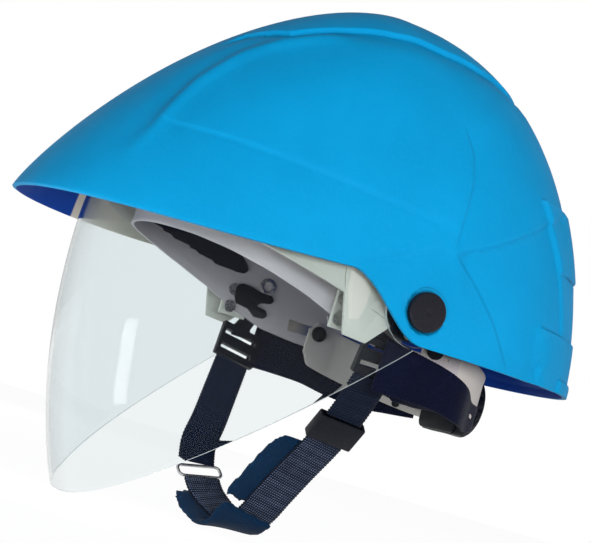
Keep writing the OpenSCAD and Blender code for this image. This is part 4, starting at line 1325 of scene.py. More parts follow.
@dataclass
class FaceShield:
    """The clear visor, the white carrier inside its top edge, and the caps over its pivots."""

    half_w: float = 103.0
    radius: float = 147.5
    sheet: float = 1.8
    pivot: Pair = (20.5, -8.0)
    ear_r: float = 18.2
    chin_k: float = 48.0
    power: float = 2.35
    low_slope: float = -43.2
    low_drop: float = -16.6
    top_slope: float = 14.0
    top_lift: float = 2.0
    carrier_drop: float = 11.5
    carrier_gap: float = 0.45
    bead: float = 0.9
    bore: float = 3.05
    hub_r: float = 15.8
    lobe: tuple[Pair, ...] = (
        (-22, 9), (-21, -2), (-14, -30), (-1, -31), (12, -17), (22, -17), (30, -8), (26, 2),
        (10, 4),
    )
    lobe_x: Pair = (96.5, 98.7)
    fold: tuple[Pair, ...] = (
        (-20.4, 5), (-19.5, -8), (-13, -28.5), (-2, -29.5), (3, -20), (4, -8), (-4, 5),
    )
    fold_top: Pair = (-15.0, -6.0)
    cap_r: float = 10.0

    def rad(self, th: float, u: float) -> float:
        """The front's radius at an angle above level and an angle across."""
        return self.radius + self.chin_k * self.close(u) * min(th, 0.0) ** 2

    def close(self, u: float) -> float:
        """How far the front closes in towards an ear."""
        return lift(math.cos(u), 2 / self.power)

    def edge(self, slope: float, off: float, rho: float) -> float:
        """The angle of a straight edge at a radius."""
        return math.radians(slope) + math.asin(max(-1.0, min(1.0, off / rho)))

    def low(self, u: float) -> float:
        """The lower edge's angle.

        Args:
            u: the angle across.

        Returns:
            The angle above level.
        """
        angle = math.radians(self.low_slope)
        for _ in range(2):
            angle = self.edge(self.low_slope, self.low_drop, self.rad(angle, u) * self.close(u))
        return angle

    def high(self, u: float, off: float) -> float:
        """The angle of a line parallel to the top edge."""
        return self.edge(self.top_slope, off, self.radius * self.close(u))

    def at(self, u: float, th: float, inward: float) -> Vector:
        """A point on the sheet or inside it.

        Args:
            u: the angle across.
            th: the angle above level.
            inward: how far inside the outer face.

        Returns:
            The point.
        """
        rho = (self.rad(th, u) - inward) * self.close(u)
        return Vector((
            (self.half_w - inward) * signed(math.sin(u), 2 / self.power),
            self.pivot[0] - rho * math.cos(th), self.pivot[1] + rho * math.sin(th),
        ))

    @property
    def ear_u(self) -> float:
        """Where the sheet runs into its ears."""
        return math.acos(((self.ear_r - 0.8) / self.radius) ** (self.power / 2))

    def across(self, share: float) -> float:
        """The angle across the sheet for a share of its width, close together at the ears."""
        return self.ear_u * math.sin(mix(-math.pi / 2, math.pi / 2, share))

    def sheet_at(self, i: float, j: float) -> Vector:
        """The outer face."""
        u = self.across(i)
        return self.at(u, mix(self.low(u), self.high(u, self.top_lift), j), 0.0)

    def carrier_at(self, i: float, j: float) -> Vector:
        """The carrier's outer face, with a stiffening bead along each edge.

        Args:
            i: a share of the way round or along.
            j: a share of the way up or across.

        Returns:
            The point.
        """
        u = self.across(i)
        inward = self.sheet + self.carrier_gap
        bead = self.bead * (1 - ramp((j - 0.06) / 0.1)) + self.bead * ramp((j - 0.84) / 0.1)
        rise = mix(self.high(u, -self.carrier_drop), self.high(u, self.top_lift - 0.3), j)
        return self.at(u, rise, inward + self.bead - bead)

    def ear(self, x0: float, x1: float, radius: float) -> bmesh.types.BMesh:
        """A flat ring round the pivot.

        Args:
            x0: its inner face.
            x1: its outer face.
            radius: its size.

        Returns:
            The left ring.
        """
        ring = (
            (self.bore, x0), (radius - 0.4, x0), (radius, x0 + 0.4), (radius, x1 - 0.4),
            (radius - 0.4, x1), (self.bore, x1), (self.bore, x0),
        )
        return stand(turned(ring, 64), (0, *self.pivot), (1, 0, 0))

    def facets(self) -> bmesh.types.BMesh:
        """The folded faces pressed out of a lobe, ahead of its hub.

        Returns:
            The left lobe's faces.
        """
        bm = side_plate(self.fold, self.lobe_x[1] - 0.6, self.lobe_x[1] + 1.9, 0.0)
        for vert in bm.verts:
            if vert.co.x > self.lobe_x[1]:
                vert.co.y = mix(vert.co.y, self.fold_top[0], 0.62)
                vert.co.z = mix(vert.co.z, self.fold_top[1], 0.5)
        bevel_edges(bm, 0.3, 12, 1)
        return bm

    def build(self) -> None:
        """Models the visor and all that turns with it, and the caps."""
        sheet = bent_grid(120, 44, self.sheet_at)
        Piece(
            "visor_sheet", CLEAR_PLASTIC, Body.VISOR, Slot.VISOR, ("visor",), wall=self.sheet,
            rim=0.35, edge_finish=CLEAR_EDGE,
        ).settle(sheet)
        ear = self.ear(self.half_w - self.sheet, self.half_w, self.ear_r)
        Piece("visor_ears", CLEAR_PLASTIC, Body.VISOR, Slot.VISOR).settle(both_sides(ear))
        band = bent_grid(120, 10, self.carrier_at)
        Piece(
            "visor_carrier_band", WHITE_PLASTIC, Body.VISOR, Slot.WHITE, ("visor_frame",),
            wall=1.5, rim=0.3,
        ).settle(band)
        lobe = joined([side_plate(self.lobe, *self.lobe_x, 0.5), self.facets()])
        hub = self.ear(self.lobe_x[0], self.lobe_x[1] + 2.2, self.hub_r)
        for name, finish, slot, form in (
            ("visor_carrier_lobes", WHITE_PLASTIC, Slot.WHITE, lobe),
            ("visor_carrier_hubs", BLACK_PLASTIC, Slot.BLACK, hub),
        ):
            Piece(name, finish, Body.VISOR, slot).settle(both_sides(form))
        self.build_caps()

    def build_caps(self) -> None:
        """Models the domed caps, each with a moulding dimple at its centre."""
        turns = (k * math.pi / 16 for k in range(9))
        rim = [(self.cap_r - 1.4 * (1 - math.cos(a)), 2.4 + 1.4 * math.sin(a)) for a in turns]
        dome = [(r, 3.8 + 0.4 * (1 - (r / (self.cap_r - 1.4)) ** 2)) for r in (8, 6, 4, 2.4, 1.9)]
        profile = [(0, 0), (self.cap_r, 0), *rim, *dome, (1.5, 3.95), (0, 3.9)]
        cap = stand(turned(profile, 64), (110, *self.pivot), (1, 0, 0))
        for side, form in (("right", mirrored(cap)), ("left", cap)):
            name, node = f"pivot_cap_{side}", f"pivot_cap_{side[0]}"
            Piece(name, CAP_PLASTIC, Body.HELMET, Slot.BLACK, (node,)).settle(form)


# ---------------------------------------------------------------- the headband


@dataclass
class HeadbandPlan:
    """The headband's plan: a round brow, straight sides and a closing nape."""

    half_w: float = 77.0
    brow: float = 100.0
    side_end: float = 60.0
    flat: float = 22.0
    nape_y: float = 106.0
    brow_power: float = 2.15
    nape_power: float = 1.6
    low_edge: Table = (
        (-100, 1), (-84, -1), (-68, -4), (-48, -9), (-28, -15), (-7, -23), (13, -29), (36, -31),
        (64, -31),
    )
    arm_edge: Table = ((36, -39), (55, -43), (82, -48), (106, -53))

    def brow_at(self, a: float, off: float) -> Pair:
        """The brow.

        Args:
            a: the angle from the front, in degrees.
            off: how far inside the band's outer face.

        Returns:
            The place in plan.
        """
        s, c = math.sin(math.radians(a)), math.cos(math.radians(a))
        k = 2 / self.brow_power
        return (self.half_w - off) * signed(s, k), -(self.brow - off) * lift(c, k)

    def nape_at(self, a: float, off: float) -> Pair:
        """The nape.

        Args:
            a: the angle from the side, in degrees.
            off: how far inside the band's outer face.

        Returns:
            The place in plan.
        """
        s, c = math.sin(math.radians(a)), math.cos(math.radians(a))
        k = 2 / self.nape_power
        wide, deep = self.half_w - off - self.flat, self.nape_y - off - self.side_end
        return self.flat + wide * lift(c, k), self.side_end + deep * lift(s, k)


@dataclass
class Headband:
    """The band round the head, its brow foam, and the brackets, hooks and eyelets on its sides."""

    plan: HeadbandPlan
    wall: float = 2.0
    height: float = 34.0
    end_y: float = 64.0
    brow_share: float = 0.36
    inner_hook: tuple[Pair, ...] = (
        (-6.8, -19.4), (-9.5, -14), (-9.4, -9.5), (-6, -7.3), (0, -7.6), (7, -9.2), (13.5, -9.2),
        (15.5, -11.6), (14, -14), (8, -15.2), (6, -17.2), (12.4, -18.4), (14, -21), (12, -23.4),
        (6.3, -23.9), (1.2, -20.4),
    )
    inner_hook_x: Pair = (73.3, 75.2)
    panel: float = 0.35
    foam_top: float = 32.0
    foam_off: Pair = (2.5, 5.3)
    foam_angle: float = 88.0
    foam_rise: Table = ((-100, 7), (-60, 9), (-27, 12.4), (-4, 17.5))
    slot_y: Pair = (28.6, 57.4)
    slot_z: Pair = (-25.2, -18.8)

    def half(self, s: float) -> Pair:
        """The band's left half.

        Args:
            s: the share from the brow to the end.

        Returns:
            The place in plan.
        """
        if s < 1 - self.brow_share:
            return self.plan.brow_at(90 * s / (1 - self.brow_share), 0)
        return self.plan.half_w, self.end_y * (s - 1 + self.brow_share) / self.brow_share

    def at(self, i: float, j: float) -> Vector:
        """The outer face, with a bead along each edge and a shallow panel between.

        Args:
            i: a share of the way round or along.
            j: a share of the way up or across.

        Returns:
            The point.
        """
        s = abs(2 * i - 1)
        x, y = self.half(s)
        low = lookup(y, self.plan.low_edge)
        bead = max(1 - ramp((j - 0.04) / 0.07), ramp((j - 0.89) / 0.07))
        inward = self.panel * (1 - bead) * ramp((1 - s) / 0.02)
        scale = 1 - inward / 90
        across = math.copysign(x * scale, i - 0.5) if i != 0.5 else 0.0
        return Vector((across, y * scale, low + self.height * j))

    def build(self, frame: dict[str, Any]) -> None:
        """Models the band and its foam, and dresses what is fixed to its sides.

        Args:
            frame: what the frame's loading gave.
        """
        band = bent_grid(200, 20, self.at)
        self.cut_slots(band)
        Piece(
            "headband_band", GREY_PLASTIC, Body.HELMET, Slot.GREY, ("headband",),
            wall=self.wall - self.panel, rim=0.35,
        ).settle(band)
        Piece(
            "sweatband_foam", SWEAT_CLOTH, Body.HELMET, Slot.FABRIC, ("sweatband",),
            smooth=1, padded=0.5,
        ).settle(swollen(self.brow_foam(), 1.7, 0.7))
        for name, finish, slot, ease in (
            ("side_bracket", WHITE_PLASTIC, Slot.WHITE, 0.5),
            ("strap_hook", BLACK_PLASTIC, Slot.BLACK, 0.45),
        ):
            for side in "lr":
                softened(frame, f"{name}_{side}", finish, Body.HELMET, slot, ease)
        inner = side_plate(self.inner_hook, *self.inner_hook_x, 0.45)
        Piece("strap_hook_inner", BLACK_PLASTIC, Body.HELMET, Slot.BLACK).settle(both_sides(inner))
        for side in "lr":
            softened(frame, f"hook_eyelet_{side}", STEEL, Body.HELMET, Slot.STEEL, 0.25)

    def cut_slots(self, band: bmesh.types.BMesh) -> None:
        """Opens the slot on each side that the rear arm's stud runs in.

        Args:
            band: the band's mesh.
        """
        for place, across in ((self.slot_y, (0, 1, 0)), (self.slot_z, (0, 0, 1))):
            for value in place:
                near = [f for f in band.faces if f.calc_center_median().y > 25]
                edges = {e for f in near for e in f.edges}
                corners = {v for f in near for v in f.verts}
                bmesh.ops.bisect_plane(
                    band, geom=list(set(near) | edges | corners), dist=0.0001,
                    plane_co=tuple(value * c for c in across), plane_no=across,
                )
        centres = {f: f.calc_center_median() for f in band.faces}
        inside = [
            f for f, c in centres.items()
            if self.slot_y[0] < c.y < self.slot_y[1] and self.slot_z[0] < c.z < self.slot_z[1]
        ]
        bmesh.ops.delete(band, geom=inside, context="FACES")

    def brow_foam(self) -> bmesh.types.BMesh:
        """The brow foam as a closed, rounded body.

        Returns:
            The mesh, in millimetres.
        """
        def at(i: float, j: float) -> Vector:
            """The foam's skin: i round its section, j from end to end."""
            end = math.sqrt(max(0.0, 1 - abs(2 * j - 1) ** 20))
            a = mix(-self.foam_angle, self.foam_angle, j)
            outer, inner = (self.plan.brow_at(a, off) for off in self.foam_off)
            base = lookup(outer[1], self.plan.low_edge)
            low = base + lookup(outer[1], self.foam_rise) + 0.3
            high = base + self.foam_top - 0.3
            c, s = math.cos(math.tau * i), math.sin(math.tau * i)
            share = 0.5 + 0.5 * end * signed(c, 0.6)
            return Vector((
                mix(outer[0], inner[0], share), mix(outer[1], inner[1], share),
                (low + high) / 2 - (high - low) / 2 * end * signed(s, 0.7),
            ))
        return closed_tube(32, 150, at)


def softened(
    frame: dict[str, Any], node: str, finish: Finish, body: Body, slot: Slot, bevel: float
) -> bpy.types.Object:
    """A rigid node again, with its loose triangles merged and its edges eased.

    Args:
        frame: what the frame's loading gave.
        node: the CAD node.
        finish: its finish.
        body: the body it rides on.
        slot: its material slot.
        bevel: how far its edges are eased, in millimetres.

    Returns:
        The piece that stands for the node.
    """
    bm = bmesh.new()
    bm.from_mesh(frame["nodes"][node].data)
    resize(bm, 1 / MM)
    bmesh.ops.remove_doubles(bm, verts=bm.verts, dist=0.002)
    bmesh.ops.dissolve_limit(bm, angle_limit=math.radians(1.5), verts=bm.verts, edges=bm.edges)
    bevel_edges(bm, bevel, 35)
    return Piece(f"{node}_moulded", finish, body, slot, (node,), crease=32).settle(bm)


# ---------------------------------------------------------------- the nape


@dataclass
class Ribbon:
    """Flat webbing along a route, with ribs across it and scalloped selvedges."""

    route: Route
    width: Pair
    across: tuple[Triple, Triple] = ((0, 0, 1), (0, 0, 1))
    pitch: float = 1.7
    rib: float = 0.1
    scallop: float = 0.3

    def place(self, s: float, w: float, lifted: float = 0.0) -> Vector:
        """A point on the webbing.

        Args:
            s: length along it.
            w: place across it, from -1 to 1.
            lifted: height over its middle.

        Returns:
            The point.
        """
        share = s / self.route.length
        along = self.route.along(s)
        turn = Vector(self.across[0]).lerp(Vector(self.across[1]), share)
        face = along.cross(turn).normalized()
        side = face.cross(along)
        return self.route.at(s) + side * (w * mix(*self.width, share) / 2) + face * lifted

    def at(self, i: float, j: float) -> Vector:
        """The middle surface, ribbed and scalloped.

        Args:
            i: a share of the way round or along.
            j: a share of the way up or across.

        Returns:
            The point.
        """
        s = self.route.length * i
        wave = abs(math.sin(math.pi * s / self.pitch))
        w = 2 * j - 1
        edge = (abs(w) ** 8) * self.scallop * (wave - 1) / (mix(*self.width, i) / 2)
        return self.place(s, w + math.copysign(edge, w), self.rib * (wave - 0.5))

    def mesh(self, columns: int = 8) -> bmesh.types.BMesh:
        """Lays the webbing.

        Args:
            columns: cells across.

        Returns:
            The sheet, with its map in metres.
        """
        rows = max(8, int(self.route.length / (self.pitch / 5)))
        return bent_grid(rows, columns, self.at, (self.route.length * MM, self.width[0] * MM))


@dataclass
class NapeUnit:
    """The rear arms, their textile legs, the nape pad and the ratchet."""

    plan: HeadbandPlan
    wall: float = 2.0
    off: float = 2.2
    front_y: float = 42.0
    height: float = 26.0
    corner: float = 6.0
    ratchet_z: float = -40.0
    side_share: float = 0.2
    leg_ends: Pair = (27.0, 11.0)
    rack_edge: float = 7.2
    rack_span: Pair = (-18.0, 23.0)
    rack_bar: float = 5.4
    tooth: Pair = (1.5, 1.7)
    tooth_pitch: float = 3.0
    pad_off: Pair = (7.4, 13.4)
    pad_flat: float = 0.3
    pad_angle: float = 39.0
    pad_half: float = 14.5

    def arm_plan(self, s: float) -> Pair:
        """The left arm's outer face in plan.

        Args:
            s: the share from its front to the ratchet.

        Returns:
            The place in plan.
        """
        if s < self.side_share:
            y = mix(self.front_y, self.plan.side_end, s / self.side_share)
            return self.plan.half_w - self.off, y
        return self.plan.nape_at(90 * (s - self.side_share) / (1 - self.side_share), self.off)

    def arm_at(self, i: float, j: float) -> Vector:
        """The left arm's outer face, with a bead along its edges and its front corners cut.

        Args:
            i: a share of the way round or along.
            j: a share of the way up or across.

        Returns:
            The point.
        """
        x, y = self.arm_plan(i)
        low = lookup(y, self.plan.arm_edge)
        cut = self.corner * (1 - ramp((y - self.front_y) / 5))
        bead = max(1 - ramp((j - 0.05) / 0.08), ramp((j - 0.87) / 0.08))
        inward = 0.4 * (1 - bead)
        tucked = 0.5 * (1 - ramp((y - self.front_y) / 30))
        return Vector((
            x - inward * 0.7 - tucked, y - inward * 0.7 * ramp((y - 60) / 40),
            mix(low + cut, low + self.height - cut, j),
        ))

    def tail(self, side: float) -> bmesh.types.BMesh:
        """An arm's toothed tail inside the ratchet housing.

        Args:
            side: 1 for teeth below the bar, -1 for teeth above it.

        Returns:
            The mesh, in millimetres.
        """
        edge, (start, stop) = self.rack_edge * side, self.rack_span
        y = self.plan.nape_y - self.off - self.wall / 2
        bars = [(start, stop, edge, edge + self.rack_bar * side)]
        for k in range(13):
            x = start + self.tooth_pitch * k
            bars.append((x, x + self.tooth[0], edge - self.tooth[1] * side, edge))
        made = []
        for x0, x1, z0, z1 in bars:
            bm = bmesh.new()
            bmesh.ops.create_cube(bm, size=1.0)
            bmesh.ops.scale(bm, vec=(x1 - x0, self.wall, abs(z1 - z0)), verts=bm.verts)
            middle = ((x0 + x1) / 2, y, self.ratchet_z + (z0 + z1) / 2)
            bmesh.ops.translate(bm, vec=middle, verts=bm.verts)
            made.append(bm)
        return joined(made)

    def leg_route(self) -> Route:
        """The middle of the left textile leg.

        Returns:
            Its route from the headband to the rivet.
        """
        x = self.plan.half_w + 10.4
        off = self.off - 0.4 - 0.8
        behind = [(*self.plan.nape_at(a, off), -48.5) for a in (35, 50, 64, 72)]
        return Route([(x, 15, -38), (x, 32, -39), (x - 0.6, 52, -41), (x - 5, 68, -45), *behind])

    def nape_pad(self) -> bmesh.types.BMesh:
        """The nape pad as a closed, rounded body.

        Returns:
            The mesh, in millimetres.
        """
        def at(i: float, j: float) -> Vector:
            """The pad's skin: i round its section, j from side to side."""
            end = math.sqrt(max(0.0, 1 - abs(2 * j - 1) ** 10))
            k, flat = 2 * j - 1, self.pad_flat
            a = mix(90, self.pad_angle, max(0.0, (abs(k) - flat) / (1 - flat)))
            outer, inner = (self.plan.nape_at(a, off) for off in self.pad_off)
            if abs(k) < flat:
                across = self.plan.flat * abs(k) / flat
                outer, inner = (across, outer[1]), (across, inner[1])
            low = lookup(outer[1], self.plan.arm_edge) + 1.4
            c, s = math.cos(math.tau * i), math.sin(math.tau * i)
            share = 0.5 + 0.5 * end * signed(c, 0.6)
            return Vector((
                math.copysign(mix(outer[0], inner[0], share), k), mix(outer[1], inner[1], share),
                low + self.pad_half - self.pad_half * end * signed(s, 0.7),
            ))
        return closed_tube(40, 120, at)

    def build(self, frame: dict[str, Any]) -> None:
        """Models the nape's pieces and dresses the ratchet.

        Args:
            frame: what the frame's loading gave.
        """
        for side, node in ((1, "rear_arm_l"), (-1, "rear_arm_r")):
            arm = bent_grid(70, 16, self.arm_at)
            bmesh.ops.reverse_faces(arm, faces=arm.faces)
            tail = self.tail(side)
            if side < 0:
                arm, tail = mirrored(arm), mirrored(tail)
            Piece(
                f"{node}_plate", REAR_PLASTIC, Body.NAPE, Slot.GREY, (node,),
                wall=self.wall - 0.4, rim=0.3,
            ).settle(arm)
            Piece(f"{node}_rack", GREY_PLASTIC, Body.NAPE, Slot.GREY).settle(tail)
            ribbon = Ribbon(self.leg_route(), self.leg_ends, pitch=1.9, rib=0.06, scallop=0.2)
            leg = ribbon.mesh(12)
            leg_node = f"nape_leg_{node[-1]}"
            Piece(
                f"{leg_node}_webbing", NAPE_CLOTH, Body.NAPE, Slot.FABRIC, (leg_node,),
                wall=1.5, wall_side=0,
            ).settle(mirrored(leg) if side < 0 else leg)
        pad = swollen(self.nape_pad(), 2.4, 0.6)
        for vert in pad.verts:
            if vert.co.y < 95:
                vert.co.y += 0.9 * math.exp(-((abs(vert.co.x) - 16) / 1.6) ** 2)
        Piece(
            "nape_cushion", NAPE_CLOTH, Body.NAPE, Slot.FABRIC, ("nape_pad",),
            smooth=1, padded=0.7,
        ).settle(pad)
        for node, bevel in (("ratchet_housing", 0.6), ("ratchet_cover", 0.5)):
            softened(frame, node, BLACK_PLASTIC, Body.NAPE, Slot.BLACK, bevel)
        softened(frame, "ratchet_knob", BLACK_PLASTIC, Body.KNOB, Slot.BLACK, 0.25)


# ---------------------------------------------------------------- the chin harness


@dataclass
class ChinHarness:
    """The webbing under the chin with its locks, slider and pad."""

    width: float = 20.0
    thickness: float = 1.6
    across: tuple[Triple, Triple] = ((0, 1, 0), (0.25, 1, 0))
    near_lock: Triple = (80.2, 18, -34.5)
    near_run: Triple = (-12, 0, -38)
    far_lock: Triple = (-80.6, 4, -42)
    far_run: Triple = (13, -7, -44)
    lock_reach: float = 10.5
    near_points: tuple[Triple, ...] = (
        (65, 18, -61), (54, 17, -75), (44, 15, -87), (32, 12, -101), (20, 9, -116), (10, 7, -128),
        (1, 5, -135), (-9, 2, -136), (-20, -3, -132), (-31, -8, -126), (-40, -9.5, -120),
    )
    far_points: tuple[Triple, ...] = (
        (-73, -1, -70), (-67, -5, -88), (-60.5, -9.5, -101.5), (-51.5, -11, -112.5),
    )
    pad_w: float = 34.0
    pad_t: float = 4.0
    pad_ahead: float = 6.0
    pad_gap: float = 0.5

    def lock_end(self, centre: Triple, run: Triple) -> Vector:
        """Where the webbing leaves a lock."""
        return Vector(centre) + Vector(run).normalized() * self.lock_reach

    def webbing(self) -> tuple[Ribbon, Ribbon]:
        """Routes the two straps.

        Returns:
            The long one from the left lock, and the short one from the right lock.
        """
        near = Route([self.lock_end(self.near_lock, self.near_run), *self.near_points])
        far = Route([self.lock_end(self.far_lock, self.far_run), *self.far_points])
        size = (self.width, self.width)
        near_strap, far_strap = (
            Ribbon(route, size, self.across, pitch=2.0, rib=0.12, scallop=0.5)
            for route in (near, far)
        )
        return near_strap, far_strap

    def pad(self, ribbon: Ribbon) -> bmesh.types.BMesh:
        """The pad on the long webbing's upper face, as a closed, rounded body.

        Args:
            ribbon: the long webbing.

        Returns:
            The mesh, in millimetres.
        """
        start = min(
            (s * 0.5 for s in range(int(ribbon.route.length * 2))),
            key=lambda s: (ribbon.route.at(s) - Vector(self.near_points[2])).length,
        )
        rise = self.pad_t / 2 + self.thickness / 2 + self.pad_gap

        def at(i: float, j: float) -> Vector:
            """The pad's skin: i round its section, j along the webbing."""
            end = math.sqrt(max(0.0, 1 - abs(2 * j - 1) ** (9 if j < 0.5 else 5)))
            s = mix(start + 0.5, ribbon.route.length - 5, j)
            c, t = math.cos(math.tau * i), math.sin(math.tau * i)
            wide = (self.pad_w / 2 - 0.8) * (0.62 + 0.38 * end) if end > 0 else 0.0
            centre = ribbon.place(s, 0)
            face = (ribbon.place(s, 0, 1) - centre).normalized()
            side = (ribbon.place(s, 1) - centre).normalized()
            up = -face if face.dot(Vector((0, 0, 1))) < 0 and j < 0.5 else face
            ahead = side if side.y < 0 else -side
            middle = centre + up * rise + ahead * self.pad_ahead
            out = side * (wide * end ** 0.2 * signed(c, 0.55))
            return middle + out + up * ((self.pad_t / 2 - 0.25) * end * signed(t, 0.8))
        return closed_tube(44, 90, at)

    def build(self, frame: dict[str, Any]) -> None:
        """Models the webbing and pad, and dresses the hardware.

        Args:
            frame: what the frame's loading gave.
        """
        near, far = self.webbing()
        for node, finish, ribbon in (
            ("chin_webbing", MESH_WEBBING, near), ("side_webbing", STRAP_WEBBING, far),
        ):
            Piece(
                f"{node}_strap", finish, Body.CHIN, Slot.FABRIC, (node,), wall=1.5, wall_side=0,
            ).settle(ribbon.mesh())
        Piece(
            "chin_cushion", CHIN_CLOTH, Body.CHIN, Slot.FABRIC, ("chin_pad",), smooth=1, padded=0.6,
        ).settle(swollen(self.pad(near), 1.6, 0.5))
        for node, bevel in (("strap_lock_l", 0.5), ("strap_lock_r", 0.5), ("strap_slider", 0.9)):
            softened(frame, node, BLACK_PLASTIC, Body.CHIN, Slot.BLACK, bevel)


# ---------------------------------------------------------------- the cradle


@dataclass
class CrownCradle:
    """Three straps over the crown, their clips, and the pad under their crossing."""

    plan: HeadbandPlan
    apex: float = 119.0
    step: float = 3.0
    width: float = 18.0
    thickness: float = 1.2
    hang: float = 9.0
    band_height: float = 34.0
    gap: float = 0.9
    power: float = 2.3
    front_angle: float = 38.0
    middle_angle: float = 74.5
    rear_spot: Pair = (77.8, 57.0)
    pad_r: float = 33.2
    pad_half: float = 3.1
    pad_y: float = -10.0
    seam_r: float = 28.5

    def band_spot(self, a: float) -> Vector:
        """Where a strap passes the band's upper edge at an angle from the front."""
        x, y = self.plan.brow_at(a, -self.gap)
        return Vector((x, y, lookup(y, self.plan.low_edge) + self.band_height))

    def side_of(self, a: float) -> Vector:
        """The level direction along the band at an angle."""
        (x0, y0), (x1, y1) = self.plan.brow_at(a - 1, 0), self.plan.brow_at(a + 1, 0)
        return Vector((x1 - x0, y1 - y0, 0)).normalized()

    def strap(
        self, a: Vector, b: Vector, top: float, turn_a: Vector, turn_b: Vector
    ) -> bmesh.types.BMesh:
        """A strap from band to band.

        Args:
            a: where it passes the band at one end.
            b: where it passes the band at the other end.
            top: the height of its middle.
            turn_a: the band's direction at a.
            turn_b: the band's direction at b.

        Returns:
            The mesh, in millimetres.
        """
        points = [a - Vector((0, 0, self.hang))]
        for k in range(0, 181, 5):
            c, s = math.cos(math.radians(k)), math.sin(math.radians(k))
            q = (a + b) / 2 + (a - b) / 2 * signed(c, 2 / self.power)
            points.append(Vector((q.x, q.y, mix(q.z, top, lift(s, 2 / self.power)))))
        points.append(b - Vector((0, 0, self.hang)))
        route = Route(points, 6)
        flat = Vector((0, 0, 1)).cross(b - a).normalized()
        start = -turn_a if turn_a.dot(flat) < 0 else turn_a
        end = -turn_b if turn_b.dot(flat) < 0 else turn_b

        def at(i: float, j: float) -> Vector:
            """The strap's middle surface: i along it, j across."""
            if i < 0.5:
                turn = start.lerp(flat, ramp(i / 0.3))
            else:
                turn = flat.lerp(end, ramp((i - 0.7) / 0.3))
            along = route.along(route.length * i)
            face = along.cross(turn).normalized()
            side = face.cross(along)
            rib = 0.05 * math.sin(math.pi * route.length * i / 0.8)
            return route.at(route.length * i) + side * ((j - 0.5) * self.width) + face * rib
        return bent_grid(int(route.length / 0.8), 6, at, (route.length * MM, self.width * MM))

    def crown_pad(self) -> bmesh.types.BMesh:
        """The quilted pad under the crossing, dished to lie along the straps.

        Returns:
            The mesh, in millimetres.
        """
        def at(i: float, j: float) -> Vector:
            """The pad's skin: i round it, j from the top's centre to the bottom's."""
            upper = j < 0.5
            r = self.pad_r * (2 * j if upper else 2 - 2 * j)
            drop = (self.apex - 34) * (1 - (1 - (r / 62) ** self.power) ** (1 / self.power))
            half = self.pad_half * lift(1 - (r / self.pad_r) ** 6, 0.5)
            top = self.apex - self.thickness / 2 - 0.8 - self.pad_half
            a = math.tau * i
            z = top - drop + (half if upper else -half)
            return Vector((r * math.sin(a), self.pad_y + r * math.cos(a), z))
        return closed_tube(64, 40, at)

    def build(self, frame: dict[str, Any]) -> None:
        """Models the straps and pad, and dresses the clips.

        Args:
            frame: what the frame's loading gave.
        """
        front, middle = self.band_spot(self.front_angle), self.band_spot(self.middle_angle)
        rear = Vector((-self.rear_spot[0], self.rear_spot[1], -31 + self.band_height))
        turns = self.side_of(self.front_angle), Vector((0, 1, 0))
        left = self.strap(front, rear, self.apex, *turns)
        right = mirrored(self.strap(front, rear, self.apex + self.step, *turns))
        turn = self.side_of(self.middle_angle)
        cross = self.strap(
            middle, Vector((-middle.x, middle.y, middle.z)), self.apex + 2 * self.step,
            turn, Vector((-turn.x, turn.y, 0)),
        )
        for end, mesh in (("l", left), ("r", right), ("cross", cross)):
            node = f"cradle_strap_{end}"
            Piece(
                f"{node}_webbing", CRADLE_WEBBING, Body.HELMET, Slot.FABRIC, (node,),
                wall=1.1, wall_side=0,
            ).settle(mesh)
        pad = swollen(self.crown_pad(), 2.4, 0.5)
        for vert in pad.verts:
            r = math.hypot(vert.co.x, vert.co.y - self.pad_y)
            a = math.atan2(vert.co.x, vert.co.y - self.pad_y)
            spokes = (abs(math.sin(a - k * math.pi / 3)) * r for k in range(3))
            depth = 0.7 * math.exp(-((min(abs(r - self.seam_r), *spokes) / 1.3) ** 2))
            vert.co.z += depth * (-1 if vert.normal.z > 0 else 1) * ramp((r - 2) / 4)
        Piece(
            "crown_cushion", SWEAT_CLOTH, Body.HELMET, Slot.FABRIC, ("crown_pad",),
            smooth=1, padded=0.6,
        ).settle(pad)
        softened(frame, "cradle_clips", BLACK_PLASTIC, Body.HELMET, Slot.BLACK, 0.4)


# ---------------------------------------------------------------- hardware and studio


HARDWARE: dict[Finish, tuple[str, ...]] = {
    STEEL: (
        "frame_rivets", "bracket_rivets", "wire_loop",
        "pivot_pin_l", "pivot_pin_r", "pivot_nut_l", "pivot_nut_r",
    ),
    BLACK_PLASTIC: (
        "outer_washer_l", "outer_washer_r", "inner_washer_l", "inner_washer_r",
        "guide_stud_l", "guide_stud_r", "leg_rivets", "cradle_studs",
    ),
    WHITE_PLASTIC: ("ratchet_pinion",),
}


def dress_hardware(frame: dict[str, Any]) -> None:
    """Gives the small rigid nodes that stay as they are their finishes.

    Args:
        frame: what the frame's loading gave.
    """
    for finish, nodes in HARDWARE.items():
        for node in nodes:
            data = frame["nodes"][node].data
            data.materials.clear()
            data.materials.append(dressed(finish))
            LOG.info("%s keeps its CAD shape", node)


@dataclass(frozen=True)
class AreaLamp:
    """A soft box, with its places and sizes in metres."""

    name: str
    place: Triple
    aim: Triple
    size: Pair
    watts: float
    mirrored: bool = False

    def build(self) -> None:
        """Hangs the lamp, unseen in gloss unless it is meant to show there."""
        data = bpy.data.lights.new(self.name, "AREA")
        data.shape = "RECTANGLE"
        data.size, data.size_y = self.size
        data.energy = self.watts
        lamp = linked(self.name, data)
        lamp.visible_glossy = self.mirrored
        lamp.visible_camera = False
        lamp.visible_transmission = False
        lamp.location = Vector(self.place)
        beam = Vector(self.aim) - Vector(self.place)
        lamp.rotation_euler = beam.to_track_quat("-Z", "Y").to_euler()


